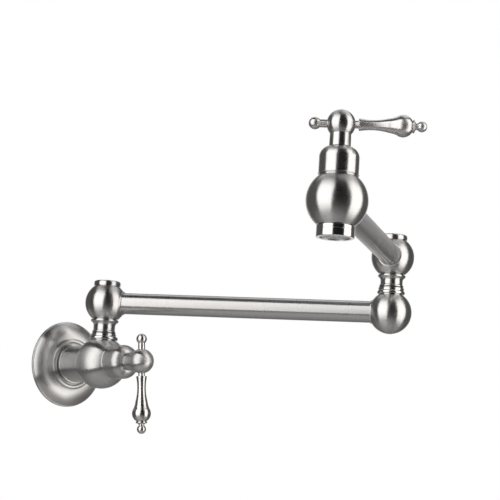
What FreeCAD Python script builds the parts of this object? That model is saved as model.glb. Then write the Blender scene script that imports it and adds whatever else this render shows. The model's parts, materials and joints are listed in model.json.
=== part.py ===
import FreeCAD, Part

import math
import os

import Sketcher

# Wall mounted pot filler with two swinging arms and two quarter turn valves.
# Millimetres and degrees. The origin is the centre of the wall flange's back face. The wall is the
# plane Y = 0 and the tap stands out to -Y, with +Z up. An azimuth turns from +X towards +Y.
# Every piece is drawn about its own axis, which is the local Z axis, and is then set in place.

SIZES = {
    # where the pieces stand
    "valve_standout": 45.0,
    "lower_swivel_rise": 45.6,
    "elbow_swivel_rise": 40.9,
    "inner_arm_length": 217.0,
    "outer_arm_length": 217.0,
    "inner_arm_azimuth": -54.2,
    "outer_arm_azimuth": -145.7,
    "wall_handle_lean": 5.0,
    "spout_handle_azimuth": -47.8,
    # clearances
    "thread_gap": 0.05,
    "running_gap": 0.05,
    "seal_gap": 0.03,
    "end_gap": 0.1,
    # wall flange and its gasket
    "flange_radius": 32.7,
    "flange_rim_height": 1.8,
    "flange_rim_round": 0.8,
    "flange_foot_height": 6.8,
    "flange_hollow": 0.9,
    "flange_ring_gap": 0.7,
    "flange_ring_width": 3.3,
    "flange_ledge_width": 1.0,
    "flange_ring_height": 9.4,
    "flange_ring_crown": 0.75,
    "flange_seat_drop": 0.6,
    "flange_wall": 1.5,
    "gasket_margin": 2.1,
    "gasket_width": 3.0,
    "gasket_thickness": 1.4,
    # inlet shank
    "shank_radius": 13.0,
    "shank_neck_step": 1.0,
    "shank_collar_step": 1.2,
    "shank_collar_height": 3.2,
    "shank_collar_round": 0.6,
    "shank_thread_radius": 10.5,
    "shank_thread_length": 6.0,
    "inlet_thread_radius": 9.3,
    "inlet_thread_length": 16.0,
    "shank_water_radius": 6.0,
    "inlet_seal_thickness": 1.0,
    # valve ball and spout ball
    "valve_ball_radius": 19.5,
    "valve_boss_radius": 12.1,
    "valve_boss_standout": 0.3,
    "valve_seat_depth": 3.0,
    "valve_port_radius": 4.6,
    "valve_bore_radius": 10.2,
    "riser_bore_radius": 4.5,
    # ceramic disc cartridge
    "cartridge_sleeve_radius": 8.7,
    "cartridge_thread_length": 8.6,
    "cartridge_lift": 0.4,
    "cartridge_hex_radius": 11.3,
    "cartridge_hex_height": 3.4,
    "cartridge_neck_radius": 8.0,
    "cartridge_neck_height": 8.5,
    "cartridge_chamber_radius": 7.4,
    "cartridge_chamber_height": 9.2,
    "cartridge_window_radius": 1.5,
    "cartridge_window_height": 4.7,
    "seat_seal_bore_radius": 4.6,
    "seat_seal_thickness": 2.1,
    "disc_thickness": 2.6,
    "disc_port_radius": 1.7,
    "disc_port_offset": 2.8,
    "disc_slot_width": 2.0,
    "disc_slot_depth": 1.2,
    # spindle
    "spindle_foot_radius": 6.2,
    "spindle_foot_height": 1.6,
    "spindle_radius": 3.45,
    "spindle_top_radius": 3.2,
    "spindle_reach": 1.3,
    "spindle_shoulder_drop": 3.9,
    "spindle_groove_rise": 2.0,
    "spindle_groove_radius": 2.5,
    "spindle_flat": 2.5,
    "spindle_flat_length": 6.0,
    # bonnet
    "bonnet_radius": 12.6,
    "bonnet_lip_radius": 12.9,
    "bonnet_lip_height": 0.9,
    "bonnet_height": 18.3,
    "bonnet_shoulder_height": 11.9,
    "bonnet_top_radius": 6.9,
    "bonnet_dome_rise": 1.45,
    "bonnet_skirt_height": 5.6,
    "bonnet_spindle_bore_radius": 4.4,
    # handle
    "hub_rise": 14.6,
    "hub_ball_radius": 9.1,
    "hub_neck_foot_radius": 6.8,
    "hub_neck_radius": 6.5,
    "hub_gap": 0.3,
    "hub_bore_spare": 2.6,
    "handle_stud_radius": 2.0,
    "handle_stud_reach": 4.4,
    "lever_neck_radius": 2.45,
    "lever_collar_start": 11.1,
    "lever_collar_radius": 3.9,
    "lever_collar_width": 1.0,
    "lever_swell_start": 29.5,
    "lever_swell_start_radius": 4.5,
    "lever_waist_depth": 1.0,
    "lever_swell_shoulder": 34.5,
    "lever_swell_shoulder_radius": 5.85,
    "lever_swell_depth": 0.18,
    "lever_swell_end": 44.1,
    "lever_swell_end_radius": 3.6,
    "lever_swell_rise": 2.2,
    "lever_bead_width": 1.4,
    "lever_bead_rise": 0.7,
    "lever_bead_taper": 0.6,
    "lever_finial_neck_radius": 2.15,
    "lever_finial_radius": 3.4,
    "lever_finial_centre": 49.8,
    "finial_neck_radius": 2.6,
    "finial_radius": 3.95,
    "finial_top": 20.2,
    "handle_screw_radius": 1.5,
    "handle_screw_recess": 1.2,
    "handle_screw_key_radius": 0.75,
    "handle_screw_key_depth": 1.5,
    # swivels
    "joint_ball_radius": 15.8,
    "lower_collar_radius": 11.0,
    "elbow_collar_radius": 10.2,
    "lower_bead_radius": 10.6,
    "elbow_bead_radius": 10.2,
    "collar_height": 4.2,
    "bead_crown": 0.7,
    "collar_ledge_radius": 9.4,
    "collar_ledge_height": 0.9,
    "post_radius": 6.0,
    "post_bore_radius": 3.6,
    "post_foot_radius": 7.5,
    "post_foot_length": 4.2,
    "post_flange_radius": 9.4,
    "post_flange_height": 1.1,
    "post_top_drop": 4.0,
    "post_groove_radius": 4.8,
    "post_groove_width": 1.5,
    "post_groove_rise": 2.6,
    "post_groove_pitch": 5.0,
    "thrust_washer_radius": 8.6,
    "thrust_washer_thickness": 0.8,
    "sleeve_waist_radius": 8.2,
    "sleeve_foot_radius": 8.9,
    "sleeve_foot_height": 1.0,
    "sleeve_foot_taper": 0.6,
    "sleeve_flare_height": 3.0,
    "sleeve_flare_hollow": 0.5,
    "sleeve_bead_height": 2.6,
    "sleeve_thread_radius": 8.0,
    "chamber_floor_drop": 7.0,
    "chamber_radius": 7.9,
    "retaining_washer_radius": 7.7,
    "retaining_washer_thickness": 0.6,
    "retaining_ring_radius": 7.3,
    "retaining_ring_thickness": 0.8,
    "retaining_groove_radius": 5.2,
    "retaining_ring_slot": 6.0,
    # pivot caps
    "cap_radius": 10.1,
    "cap_height": 4.4,
    "cap_round": 1.5,
    "cap_thread_radius": 9.0,
    "cap_thread_length": 4.0,
    "cap_hollow_radius": 6.8,
    "cap_hollow_depth": 3.0,
    "cap_seal_thickness": 0.8,
    # arm tubes and their sockets
    "tube_radius": 8.0,
    "tube_wall": 1.0,
    "socket_rim_radius": 8.8,
    "socket_rim_standout": 0.7,
    "joint_socket_floor": 10.2,
    "spout_socket_floor": 12.6,
    "socket_water_radius": 6.0,
    "spout_water_radius": 5.0,
    # outlet and aerator
    "outlet_radius": 12.0,
    "outlet_thread_radius": 9.2,
    "outlet_thread_length": 5.0,
    "outlet_ring_height": 3.1,
    "outlet_edge": 0.2,
    "outlet_nose_radius": 10.4,
    "outlet_bore_radius": 6.8,
    "outlet_seal_thickness": 1.0,
    "aerator_height": 4.7,
    "aerator_lip_radius": 9.6,
    "aerator_lip_height": 0.9,
    "aerator_round": 0.4,
    "aerator_washer_thickness": 0.8,
    "aerator_washer_bore_radius": 7.4,
    "screen_radius": 10.2,
    "screen_clear_radius": 9.4,
    "screen_thickness": 0.4,
    "screen_pitch": 1.5,
    "screen_wire": 0.4,
    "insert_radius": 6.7,
    "insert_rim_thickness": 0.8,
    "insert_height": 2.6,
    "insert_jet_radius": 0.8,
    "insert_jet_circle": 4.4,
}

JET_COUNT = 8
O_RINGS_PER_POST = 2

# outward ways of the local axes, as rotations of a cylinder that starts out along +Z
ALONG = {
    "X": (FreeCAD.Vector(1, 0, 0), FreeCAD.Rotation(FreeCAD.Vector(0, 1, 0), 90)),
    "-X": (FreeCAD.Vector(-1, 0, 0), FreeCAD.Rotation(FreeCAD.Vector(0, 1, 0), -90)),
    "Y": (FreeCAD.Vector(0, 1, 0), FreeCAD.Rotation(FreeCAD.Vector(1, 0, 0), -90)),
    "Z": (FreeCAD.Vector(0, 0, 1), FreeCAD.Rotation()),
    "-Z": (FreeCAD.Vector(0, 0, -1), FreeCAD.Rotation(FreeCAD.Vector(1, 0, 0), 180)),
}


class Size:
    """A length or angle: its value now, and the expression that ties it to the sheet."""

    def __init__(self, value, text):
        self.value = value
        self.text = text

    def __add__(self, other):
        other = as_size(other)
        return Size(self.value + other.value, f"({self.text} + {other.text})")

    def __radd__(self, other):
        return as_size(other) + self

    def __sub__(self, other):
        other = as_size(other)
        return Size(self.value - other.value, f"({self.text} - {other.text})")

    def __rsub__(self, other):
        return as_size(other) - self

    def __mul__(self, other):
        other = as_size(other)
        return Size(self.value * other.value, f"({self.text} * {other.text})")

    def __rmul__(self, other):
        return as_size(other) * self

    def __truediv__(self, other):
        other = as_size(other)
        return Size(self.value / other.value, f"({self.text} / {other.text})")

    def __neg__(self):
        return 0 - self


def as_size(number):
    """A plain number as a Size; a Size stays as it is."""
    return number if isinstance(number, Size) else Size(number, f"{number:g}")


def square_root(size):
    return Size(math.sqrt(size.value), f"sqrt({size.text})")


def cosine(angle):
    return Size(math.cos(math.radians(angle.value)), f"cos({angle.text})")


def sine(angle):
    return Size(math.sin(math.radians(angle.value)), f"sin({angle.text})")


def height_on_ball(ball_radius, ring_radius):
    """How far from a ball's centre a ring of the given radius lies on the ball."""
    return square_root(ball_radius * ball_radius - ring_radius * ring_radius)


class Sheet:
    """The spreadsheet of driving sizes; each alias reads as an attribute that is a Size."""

    def __init__(self, doc, sizes):
        self.cells = doc.addObject("Spreadsheet::Sheet", "Sizes")
        for row, (alias, number) in enumerate(sizes.items(), start=1):
            self.cells.set(f"A{row}", alias)
            self.cells.set(f"B{row}", str(number))
            self.cells.setAlias(f"B{row}", alias)
            setattr(self, alias, Size(number, f"Sizes.{alias}"))
        doc.recompute()


class Place:
    """Where a piece's own axes stand: its origin, and the turn about Z, then Y, then X."""

    def __init__(self, x, y, z, yaw=0, pitch=0, roll=0):
        self.origin = [as_size(number) for number in (x, y, z)]
        self.angles = [as_size(number) for number in (yaw, pitch, roll)]

    def raised(self, height):
        """The same axes with the origin moved up the world's Z axis."""
        x, y, z = self.origin
        return Place(x, y, z + height, *self.angles)

    def turned(self, yaw=0, pitch=0, roll=0):
        """The same origin with other angles."""
        return Place(*self.origin, yaw, pitch, roll)

    def set(self, piece):
        vector = "; ".join(size.text for size in self.origin)
        rotation = "; ".join(size.text for size in self.angles)
        piece.setExpression("Placement", f"placement(vector({vector}); rotation({rotation}))")


class Bow:
    """A round stretch of an outline: how far it stands proud of its chord, or is hollow if negative."""

    def __init__(self, rise):
        self.rise = as_size(rise)


def pole_rise(ball_radius, ring_radius):
    """The rise of a Bow that follows a ball from a ring on it to its far pole."""
    height = height_on_ball(ball_radius, ring_radius)
    return ball_radius - square_root(ball_radius * (ball_radius - height) / 2)


def new_body(doc, name):
    body = doc.addObject("PartDesign::Body", name)
    body.Label = name
    return body


def new_feature(body, kind, name):
    return body.newObject(f"PartDesign::{kind}", f"{body.Name}_{name}")


def origin_plane(body, role):
    return next(plane for plane in body.Origin.OriginFeatures if plane.Role == role)


def vector_of(corner):
    return FreeCAD.Vector(corner[0].value, corner[1].value, 0)


def bow_radius(start, end, rise):
    across = end[0] - start[0]
    along = end[1] - start[1]
    depth = rise if rise.value > 0 else -rise
    return ((across * across + along * along) / 4 + depth * depth) / (depth * 2)


def add_bow(sketch, start, end, rise):
    """Draws an arc and returns its two ends in travel order, as an arc itself runs anticlockwise."""
    first, last = vector_of(start), vector_of(end)
    radius = bow_radius(start, end, rise).value
    way = (last - first).normalize()
    side = FreeCAD.Vector(way.y, -way.x, 0)
    depth = math.copysign(radius, rise.value) - rise.value
    centre = (first + last) * 0.5 - side * depth
    if rise.value < 0:
        first, last = last, first
    angles = [math.atan2(point.y - centre.y, point.x - centre.x) for point in (first, last)]
    circle = Part.Circle(centre, FreeCAD.Vector(0, 0, 1), radius)
    sketch.addGeometry(Part.ArcOfCircle(circle, *angles), False)
    return (1, 2) if rise.value > 0 else (2, 1)


def bind(sketch, constraint, size):
    index = sketch.addConstraint(constraint)
    sketch.setExpression(f"Constraints[{index}]", size.text)


def pin_corner(sketch, edge, end, corner):
    """Ties one corner of an outline to its radius and height."""
    for kind, size, axis in (("DistanceX", corner[0], -2), ("DistanceY", corner[1], -1)):
        if size.text == "0":
            sketch.addConstraint(Sketcher.Constraint("PointOnObject", edge, end, axis))
        else:
            bind(sketch, Sketcher.Constraint(kind, -1, 1, edge, end, size.value), size)


def outline_sketch(body, outline):
    """A closed outline on the XZ plane, from points (radius, height) with a Bow where it is round.

    The outline runs anticlockwise: out along the bottom, up the outside, back along the top."""
    sketch = body.newObject("Sketcher::SketchObject", f"{body.Name}_outline")
    sketch.AttachmentSupport = [(origin_plane(body, "XZ_Plane"), "")]
    sketch.MapMode = "FlatFace"
    corners, rises = [], []
    for item in outline:
        if isinstance(item, Bow):
            rises[-1] = item.rise
        else:
            corners.append(tuple(as_size(number) for number in item))
            rises.append(None)
    ends = []
    for index, (start, rise) in enumerate(zip(corners, rises)):
        end = corners[(index + 1) % len(corners)]
        if rise is None:
            sketch.addGeometry(Part.LineSegment(vector_of(start), vector_of(end)), False)
            ends.append((1, 2))
        else:
            ends.append(add_bow(sketch, start, end, rise))
    for index, (start, rise) in enumerate(zip(corners, rises)):
        following = (index + 1) % len(corners)
        joint = Sketcher.Constraint("Coincident", index, ends[index][1], following, ends[following][0])
        sketch.addConstraint(joint)
        pin_corner(sketch, index, ends[index][0], start)
        if rise is not None:
            size = bow_radius(start, corners[following], rise)
            bind(sketch, Sketcher.Constraint("Radius", index, size.value), size)
    return sketch


def turn_outline(body, outline):
    """Turns an outline once round the local Z axis."""
    sketch = outline_sketch(body, outline)
    turned = new_feature(body, "Revolution", "turned")
    turned.Profile = sketch
    turned.ReferenceAxis = (sketch, ["V_Axis"])
    turned.Angle = 360
    sketch.Visibility = False
    return turned


def turned_piece(doc, name, place, outline):
    body = new_body(doc, name)
    turn_outline(body, outline)
    place.set(body)
    return body


def ring_outline(inner_radius, outer_radius, bottom, top):
    return [(inner_radius, bottom), (outer_radius, bottom), (outer_radius, top), (inner_radius, top)]


def shift_along(feature, way, start):
    """Sets a feature on one of the local axes, facing outwards, a given way from the origin."""
    direction, rotation = ALONG[way]
    feature.Placement = FreeCAD.Placement(FreeCAD.Vector(), rotation)
    for axis in ("x", "y", "z"):
        sign = getattr(direction, axis)
        if sign:
            size = start if sign > 0 else -start
            feature.setExpression(f"Placement.Base.{axis}", size.text)


def add_ball(body, name, radius, centre=0):
    ball = new_feature(body, "AdditiveSphere", name)
    ball.setExpression("Radius", radius.text)
    ball.setExpression("Placement.Base.z", as_size(centre).text)


def add_rod(body, name, radius, way, start, end):
    rod = new_feature(body, "AdditiveCylinder", name)
    rod.setExpression("Radius", radius.text)
    rod.setExpression("Height", (end - start).text)
    shift_along(rod, way, as_size(start))


def drill(body, name, radius, way, start, end):
    """Cuts a round hole along a local axis, from start to end, both measured outwards."""
    hole = new_feature(body, "SubtractiveCylinder", name)
    hole.setExpression("Radius", radius.text)
    hole.setExpression("Height", (end - start).text)
    shift_along(hole, way, as_size(start))


def cut_box(body, name, corner, lengths):
    """Cuts a box given by its lowest corner and its three lengths."""
    box = new_feature(body, "SubtractiveBox", name)
    shape_box(box, corner, lengths)


def shape_box(box, corner, lengths):
    for axis, size in zip(("x", "y", "z"), corner):
        box.setExpression(f"Placement.Base.{axis}", as_size(size).text)
    for side, size in zip(("Length", "Width", "Height"), lengths):
        box.setExpression(side, as_size(size).text)


def add_prism(body, kind, name, radius, start, height):
    """A hexagon about the local Z axis, added or cut."""
    prism = new_feature(body, kind, name)
    prism.Polygon = 6
    prism.setExpression("Circumradius", radius.text)
    prism.setExpression("Height", height.text)
    prism.setExpression("Placement.Base.z", start.text)


# ---------------------------------------------------------------- heights that several pieces share


def flange_seat(s):
    """Where the shank's collar bears on the flange, from the wall."""
    return s.flange_ring_height - s.flange_seat_drop


def shank_neck_radius(s):
    return s.shank_radius + s.shank_neck_step


def shank_collar_radius(s):
    return shank_neck_radius(s) + s.shank_collar_step


def flange_ring_bore(s):
    return shank_collar_radius(s) + s.flange_ring_gap


def flange_ring_radius(s):
    return flange_ring_bore(s) + s.flange_ring_width


def flange_foot_radius(s):
    return flange_ring_radius(s) + s.flange_ledge_width


def gasket_recess_radius(s):
    return s.flange_radius - s.gasket_margin


def gasket_bore_radius(s):
    return gasket_recess_radius(s) - s.gasket_width


def shank_neck_end(s):
    """Where the shank's neck meets the valve ball, from the ball's centre."""
    return height_on_ball(s.valve_ball_radius, shank_neck_radius(s))


def valve_boss_top(s):
    return height_on_ball(s.valve_ball_radius, s.valve_boss_radius) + s.valve_boss_standout


def bonnet_top(s):
    return valve_boss_top(s) + s.bonnet_height


def hub_centre(s):
    """The height of a handle's centre above its valve ball's centre."""
    return bonnet_top(s) + s.hub_rise


def cartridge_foot(s):
    return s.cartridge_lift - s.valve_seat_depth


def fixed_disc_foot(s):
    return s.seat_seal_thickness - s.valve_seat_depth


def moving_disc_foot(s):
    return fixed_disc_foot(s) + s.disc_thickness + s.running_gap


def spindle_groove_foot(s):
    return cartridge_neck_foot(s) + s.spindle_groove_rise


def spindle_foot(s):
    return moving_disc_foot(s) + s.disc_thickness + s.running_gap


def cartridge_neck_foot(s):
    return valve_boss_top(s) + s.cartridge_hex_height


def cartridge_top(s):
    return cartridge_neck_foot(s) + s.cartridge_neck_height


def cap_seat(s):
    """Where a cap sits on its ball, from the ball's centre."""
    return height_on_ball(s.joint_ball_radius, s.cap_radius)


def outlet_seat(s):
    """Where the outlet meets the spout ball, below the ball's centre."""
    return height_on_ball(s.valve_ball_radius, s.outlet_radius)


def outlet_ring_foot(s):
    return outlet_seat(s) + s.outlet_ring_height


def aerator_foot(s):
    return outlet_ring_foot(s) + s.aerator_height


def screen_foot(s):
    return aerator_foot(s) - s.aerator_lip_height


def insert_foot(s):
    return screen_foot(s) - s.screen_thickness


def washer_foot(s):
    return insert_foot(s) - s.insert_rim_thickness


def outlet_nose_foot(s):
    return washer_foot(s) - s.aerator_washer_thickness


# ---------------------------------------------------------------- wall flange and inlet


def make_wall_gasket(doc, s, place):
    outer = gasket_recess_radius(s) - s.thread_gap
    return turned_piece(doc, "wall_gasket", place,
                        ring_outline(gasket_bore_radius(s), outer, 0, s.gasket_thickness))


def make_wall_flange(doc, s, place):
    """A dished rose with a raised ring, hollow behind, over the shank."""
    bore = s.shank_radius + s.thread_gap
    underside = s.flange_foot_height - s.flange_wall
    return turned_piece(doc, "wall_flange", place, [
        (gasket_recess_radius(s), 0),
        (s.flange_radius, 0),
        (s.flange_radius, s.flange_rim_height - s.flange_rim_round),
        Bow(s.flange_rim_round * 0.29),
        (s.flange_radius - s.flange_rim_round, s.flange_rim_height),
        Bow(-s.flange_hollow),
        (flange_foot_radius(s), s.flange_foot_height),
        (flange_ring_radius(s), s.flange_foot_height),
        (flange_ring_radius(s), s.flange_ring_height),
        Bow(s.flange_ring_crown),
        (flange_ring_bore(s), s.flange_ring_height),
        (flange_ring_bore(s), flange_seat(s)),
        (bore, flange_seat(s)),
        (bore, underside),
        (flange_foot_radius(s), underside),
        Bow(s.flange_hollow),
        (gasket_bore_radius(s), s.gasket_thickness),
        (gasket_recess_radius(s), s.gasket_thickness),
    ])


def make_inlet_shank(doc, s, place):
    """The threaded inlet that clamps the flange and carries the valve ball."""
    seat = flange_seat(s)
    collar_top = seat + s.shank_collar_height
    neck_end = s.valve_standout - shank_neck_end(s)
    thread_end = neck_end + s.shank_thread_length
    return turned_piece(doc, "inlet_shank", place, [
        (s.inlet_thread_radius, 0),
        (s.shank_radius, 0),
        (s.shank_radius, seat),
        (shank_collar_radius(s), seat),
        (shank_collar_radius(s), collar_top - s.shank_collar_round),
        Bow(s.shank_collar_round * 0.29),
        (shank_collar_radius(s) - s.shank_collar_round, collar_top),
        (shank_neck_radius(s), collar_top),
        (shank_neck_radius(s), neck_end),
        (s.shank_thread_radius, neck_end),
        (s.shank_thread_radius, thread_end),
        (s.shank_water_radius, thread_end),
        (s.shank_water_radius, s.inlet_thread_length),
        (s.inlet_thread_radius, s.inlet_thread_length),
    ])


def make_inlet_seal(doc, s, place):
    foot = s.valve_standout - shank_neck_end(s) + s.shank_thread_length
    return turned_piece(doc, "inlet_seal", place,
                        ring_outline(s.shank_water_radius, s.shank_thread_radius, foot,
                                     foot + s.inlet_seal_thickness))


# ---------------------------------------------------------------- balls that hold a cartridge


def start_valve_ball(doc, s, name):
    """A ball with the boss that a bonnet stands on."""
    top = valve_boss_top(s)
    body = new_body(doc, name)
    add_ball(body, "ball", s.valve_ball_radius)
    add_rod(body, "boss", s.valve_boss_radius, "Z", 0, top)
    drill(body, "boss_face", s.valve_boss_radius, "Z", top, s.valve_ball_radius + s.end_gap)
    return body


def bore_cartridge_seat(body, s, port_end):
    """Bores the cartridge's chamber and the port through its seat."""
    drill(body, "chamber", s.valve_bore_radius, "Z", -s.valve_seat_depth, s.valve_ball_radius)
    drill(body, "port", s.valve_port_radius, "-Z", s.valve_seat_depth - s.end_gap, port_end + s.end_gap)


def bore_socket(body, s, ball_radius, way, floor, water_radius, water_start):
    """Adds a tube socket with a fine rim, and the water way behind it."""
    rim_end = height_on_ball(ball_radius, s.socket_rim_radius) + s.socket_rim_standout
    add_rod(body, "socket_rim", s.socket_rim_radius, way, floor, rim_end)
    drill(body, "socket", s.tube_radius + s.thread_gap, way, floor, ball_radius + s.end_gap)
    drill(body, "water_way", water_radius, way, water_start, floor + s.end_gap)


def bore_post_seat(body, s, ball_radius, way, collar_radius, riser_start):
    """Faces a ball for a swivel collar and bores it for the post's foot and its water."""
    seat = height_on_ball(ball_radius, collar_radius - s.bead_crown)
    foot = seat - s.post_foot_length
    drill(body, "post_face", ball_radius, way, seat, ball_radius + s.end_gap)
    drill(body, "post_thread", s.post_foot_radius + s.thread_gap, way, foot, seat + s.end_gap)
    drill(body, "riser", s.riser_bore_radius, way, riser_start, foot + s.end_gap)


def make_valve_body(doc, s, place):
    """The wall valve's ball: inlet behind, cartridge in front, swivel on top."""
    body = start_valve_ball(doc, s, "valve_body")
    face = shank_neck_end(s)
    thread_end = face - s.shank_thread_length - s.inlet_seal_thickness
    drill(body, "neck_face", s.valve_ball_radius, "-Z", face, s.valve_ball_radius + s.end_gap)
    drill(body, "inlet_thread", s.shank_thread_radius + s.thread_gap, "-Z", thread_end, face + s.end_gap)
    bore_cartridge_seat(body, s, thread_end)
    riser_start = height_on_ball(s.valve_bore_radius, s.riser_bore_radius) - s.end_gap
    bore_post_seat(body, s, s.valve_ball_radius, "Y", s.lower_collar_radius, riser_start)
    place.set(body)
    return body


def make_spout_body(doc, s, place):
    """The spout's ball: tube at its side, cartridge on top, outlet below."""
    body = start_valve_ball(doc, s, "spout_body")
    face = outlet_seat(s)
    thread_end = face - s.outlet_thread_length - s.outlet_seal_thickness
    water_start = height_on_ball(s.valve_bore_radius, s.spout_water_radius) - s.end_gap
    bore_socket(body, s, s.valve_ball_radius, "-X", s.spout_socket_floor, s.spout_water_radius, water_start)
    drill(body, "outlet_face", s.valve_ball_radius, "-Z", face, s.valve_ball_radius + s.end_gap)
    drill(body, "outlet_thread", s.outlet_thread_radius + s.thread_gap, "-Z", thread_end, face + s.end_gap)
    bore_cartridge_seat(body, s, thread_end)
    place.set(body)
    return body


# ---------------------------------------------------------------- valve inside and handle


def make_cartridge_body(doc, s, side, place):
    """The brass housing: chamber with windows, thread, hexagon and neck."""
    boss_top = valve_boss_top(s)
    sleeve_top = boss_top - s.cartridge_thread_length
    spindle_bore = s.spindle_radius + s.running_gap
    chamber_top = cartridge_foot(s) + s.cartridge_chamber_height
    thread_radius = s.valve_bore_radius - s.thread_gap
    body = new_body(doc, f"{side}_cartridge_body")
    turn_outline(body, [
        (s.cartridge_chamber_radius, cartridge_foot(s)),
        (s.cartridge_sleeve_radius, cartridge_foot(s)),
        (s.cartridge_sleeve_radius, sleeve_top),
        (thread_radius, sleeve_top),
        (thread_radius, boss_top),
        (s.cartridge_neck_radius, boss_top),
        (s.cartridge_neck_radius, cartridge_top(s)),
        (spindle_bore, cartridge_top(s)),
        (spindle_bore, chamber_top),
        (s.cartridge_chamber_radius, chamber_top),
    ])
    add_prism(body, "AdditivePrism", "hexagon", s.cartridge_hex_radius, boss_top, s.cartridge_hex_height)
    drill(body, "spindle_bore", spindle_bore, "Z", boss_top, cartridge_neck_foot(s))
    reach = s.cartridge_sleeve_radius + s.end_gap
    for name, way in (("windows_x", "X"), ("windows_y", "Y")):
        drill_across(body, name, s.cartridge_window_radius, way, s.cartridge_window_height, reach)
    place.set(body)
    return body


def drill_across(body, name, radius, way, height, reach):
    """Cuts a hole right across the local Z axis at a height."""
    hole = new_feature(body, "SubtractiveCylinder", name)
    hole.setExpression("Radius", radius.text)
    hole.setExpression("Height", (reach * 2).text)
    shift_along(hole, way, -reach)
    hole.setExpression("Placement.Base.z", height.text)


def make_seat_seal(doc, s, side, place):
    outer = s.cartridge_chamber_radius - s.thread_gap
    return turned_piece(doc, f"{side}_seat_seal", place,
                        ring_outline(s.seat_seal_bore_radius, outer, -s.valve_seat_depth, fixed_disc_foot(s)))


def make_disc(doc, s, name, place, foot, way):
    """A ceramic disc with two ports on one of its local axes."""
    radius = s.cartridge_chamber_radius - s.running_gap
    body = new_body(doc, name)
    turn_outline(body, [(0, foot), (radius, foot), (radius, foot + s.disc_thickness),
                        (0, foot + s.disc_thickness)])
    for number, offset in ((1, s.disc_port_offset), (2, -s.disc_port_offset)):
        port = new_feature(body, "SubtractiveCylinder", f"port_{number}")
        port.setExpression("Radius", s.disc_port_radius.text)
        port.setExpression("Height", (s.disc_thickness + s.end_gap * 2).text)
        port.setExpression("Placement.Base.z", (foot - s.end_gap).text)
        port.setExpression(f"Placement.Base.{way}", offset.text)
    place.set(body)
    return body


def make_moving_disc(doc, s, side, place):
    """The upper disc, with the slot that the spindle's tongue turns."""
    foot = moving_disc_foot(s)
    body = make_disc(doc, s, f"{side}_moving_disc", place, foot, "y")
    reach = s.cartridge_chamber_radius
    top = foot + s.disc_thickness
    cut_box(body, "slot", (-reach, -s.disc_slot_width / 2, top - s.disc_slot_depth),
            (reach * 2, s.disc_slot_width, s.disc_slot_depth + s.end_gap))
    return body


def make_spindle(doc, s, side, place):
    """The stem that turns the upper disc, with its tongue, seal groove and flat."""
    foot = spindle_foot(s)
    foot_top = foot + s.spindle_foot_height
    groove = spindle_groove_foot(s)
    groove_top = groove + (s.spindle_radius - s.spindle_groove_radius) * 1.5
    shoulder = bonnet_top(s) - s.spindle_shoulder_drop
    top = hub_centre(s) + s.spindle_reach
    body = new_body(doc, f"{side}_spindle")
    turn_outline(body, [
        (0, foot),
        (s.spindle_foot_radius, foot),
        (s.spindle_foot_radius, foot_top),
        (s.spindle_radius, foot_top),
        (s.spindle_radius, groove),
        (s.spindle_groove_radius, groove),
        (s.spindle_groove_radius, groove_top),
        (s.spindle_radius, groove_top),
        (s.spindle_radius, shoulder),
        (s.spindle_top_radius, shoulder),
        (s.spindle_top_radius, top),
        (0, top),
    ])
    tongue = new_feature(body, "AdditiveBox", "tongue")
    width = s.disc_slot_width - s.thread_gap * 2
    depth = s.disc_slot_depth - s.thread_gap
    shape_box(tongue, (-s.spindle_foot_radius * 0.9, -width / 2, foot - depth),
              (s.spindle_foot_radius * 1.8, width, depth + s.end_gap))
    cut_box(body, "flat",
            (-s.spindle_top_radius, s.spindle_flat, hub_centre(s) - s.spindle_flat_length / 2),
            (s.spindle_top_radius * 2, s.spindle_top_radius, s.spindle_flat_length))
    place.set(body)
    return body


def make_o_ring(doc, s, name, place, groove_radius, bore_radius, height):
    """A rubber ring that fills a groove, just clear of the bore that turns about it."""
    section = (bore_radius - groove_radius) / 2 - s.seal_gap
    body = new_body(doc, name)
    ring = new_feature(body, "AdditiveTorus", "ring")
    ring.setExpression("Radius1", (groove_radius + s.seal_gap + section).text)
    ring.setExpression("Radius2", section.text)
    ring.setExpression("Placement.Base.z", height.text)
    place.set(body)
    return body


def make_spindle_o_ring(doc, s, side, place):
    half_width = (s.spindle_radius - s.spindle_groove_radius) * 0.75
    return make_o_ring(doc, s, f"{side}_spindle_o_ring", place, s.spindle_groove_radius,
                       s.spindle_radius + s.running_gap, spindle_groove_foot(s) + half_width)


def make_bonnet(doc, s, side, place):
    """The domed cover that screws onto the cartridge's neck."""
    foot = valve_boss_top(s)
    top = bonnet_top(s)
    skirt_radius = s.cartridge_hex_radius + s.end_gap * 3
    thread_radius = s.cartridge_neck_radius + s.thread_gap
    skirt_top = foot + s.bonnet_skirt_height
    thread_top = cartridge_top(s) + s.end_gap * 5
    lip_top = foot + s.bonnet_lip_height
    return turned_piece(doc, f"{side}_bonnet", place, [
        (skirt_radius, foot),
        (s.bonnet_lip_radius, foot),
        (s.bonnet_lip_radius, lip_top),
        (s.bonnet_radius, lip_top + (s.bonnet_lip_radius - s.bonnet_radius)),
        (s.bonnet_radius, foot + s.bonnet_shoulder_height),
        Bow(s.bonnet_dome_rise),
        (s.bonnet_top_radius, top),
        (s.bonnet_spindle_bore_radius, top),
        (s.bonnet_spindle_bore_radius, thread_top),
        (thread_radius, thread_top),
        (thread_radius, skirt_top),
        (skirt_radius, skirt_top),
    ])


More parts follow.
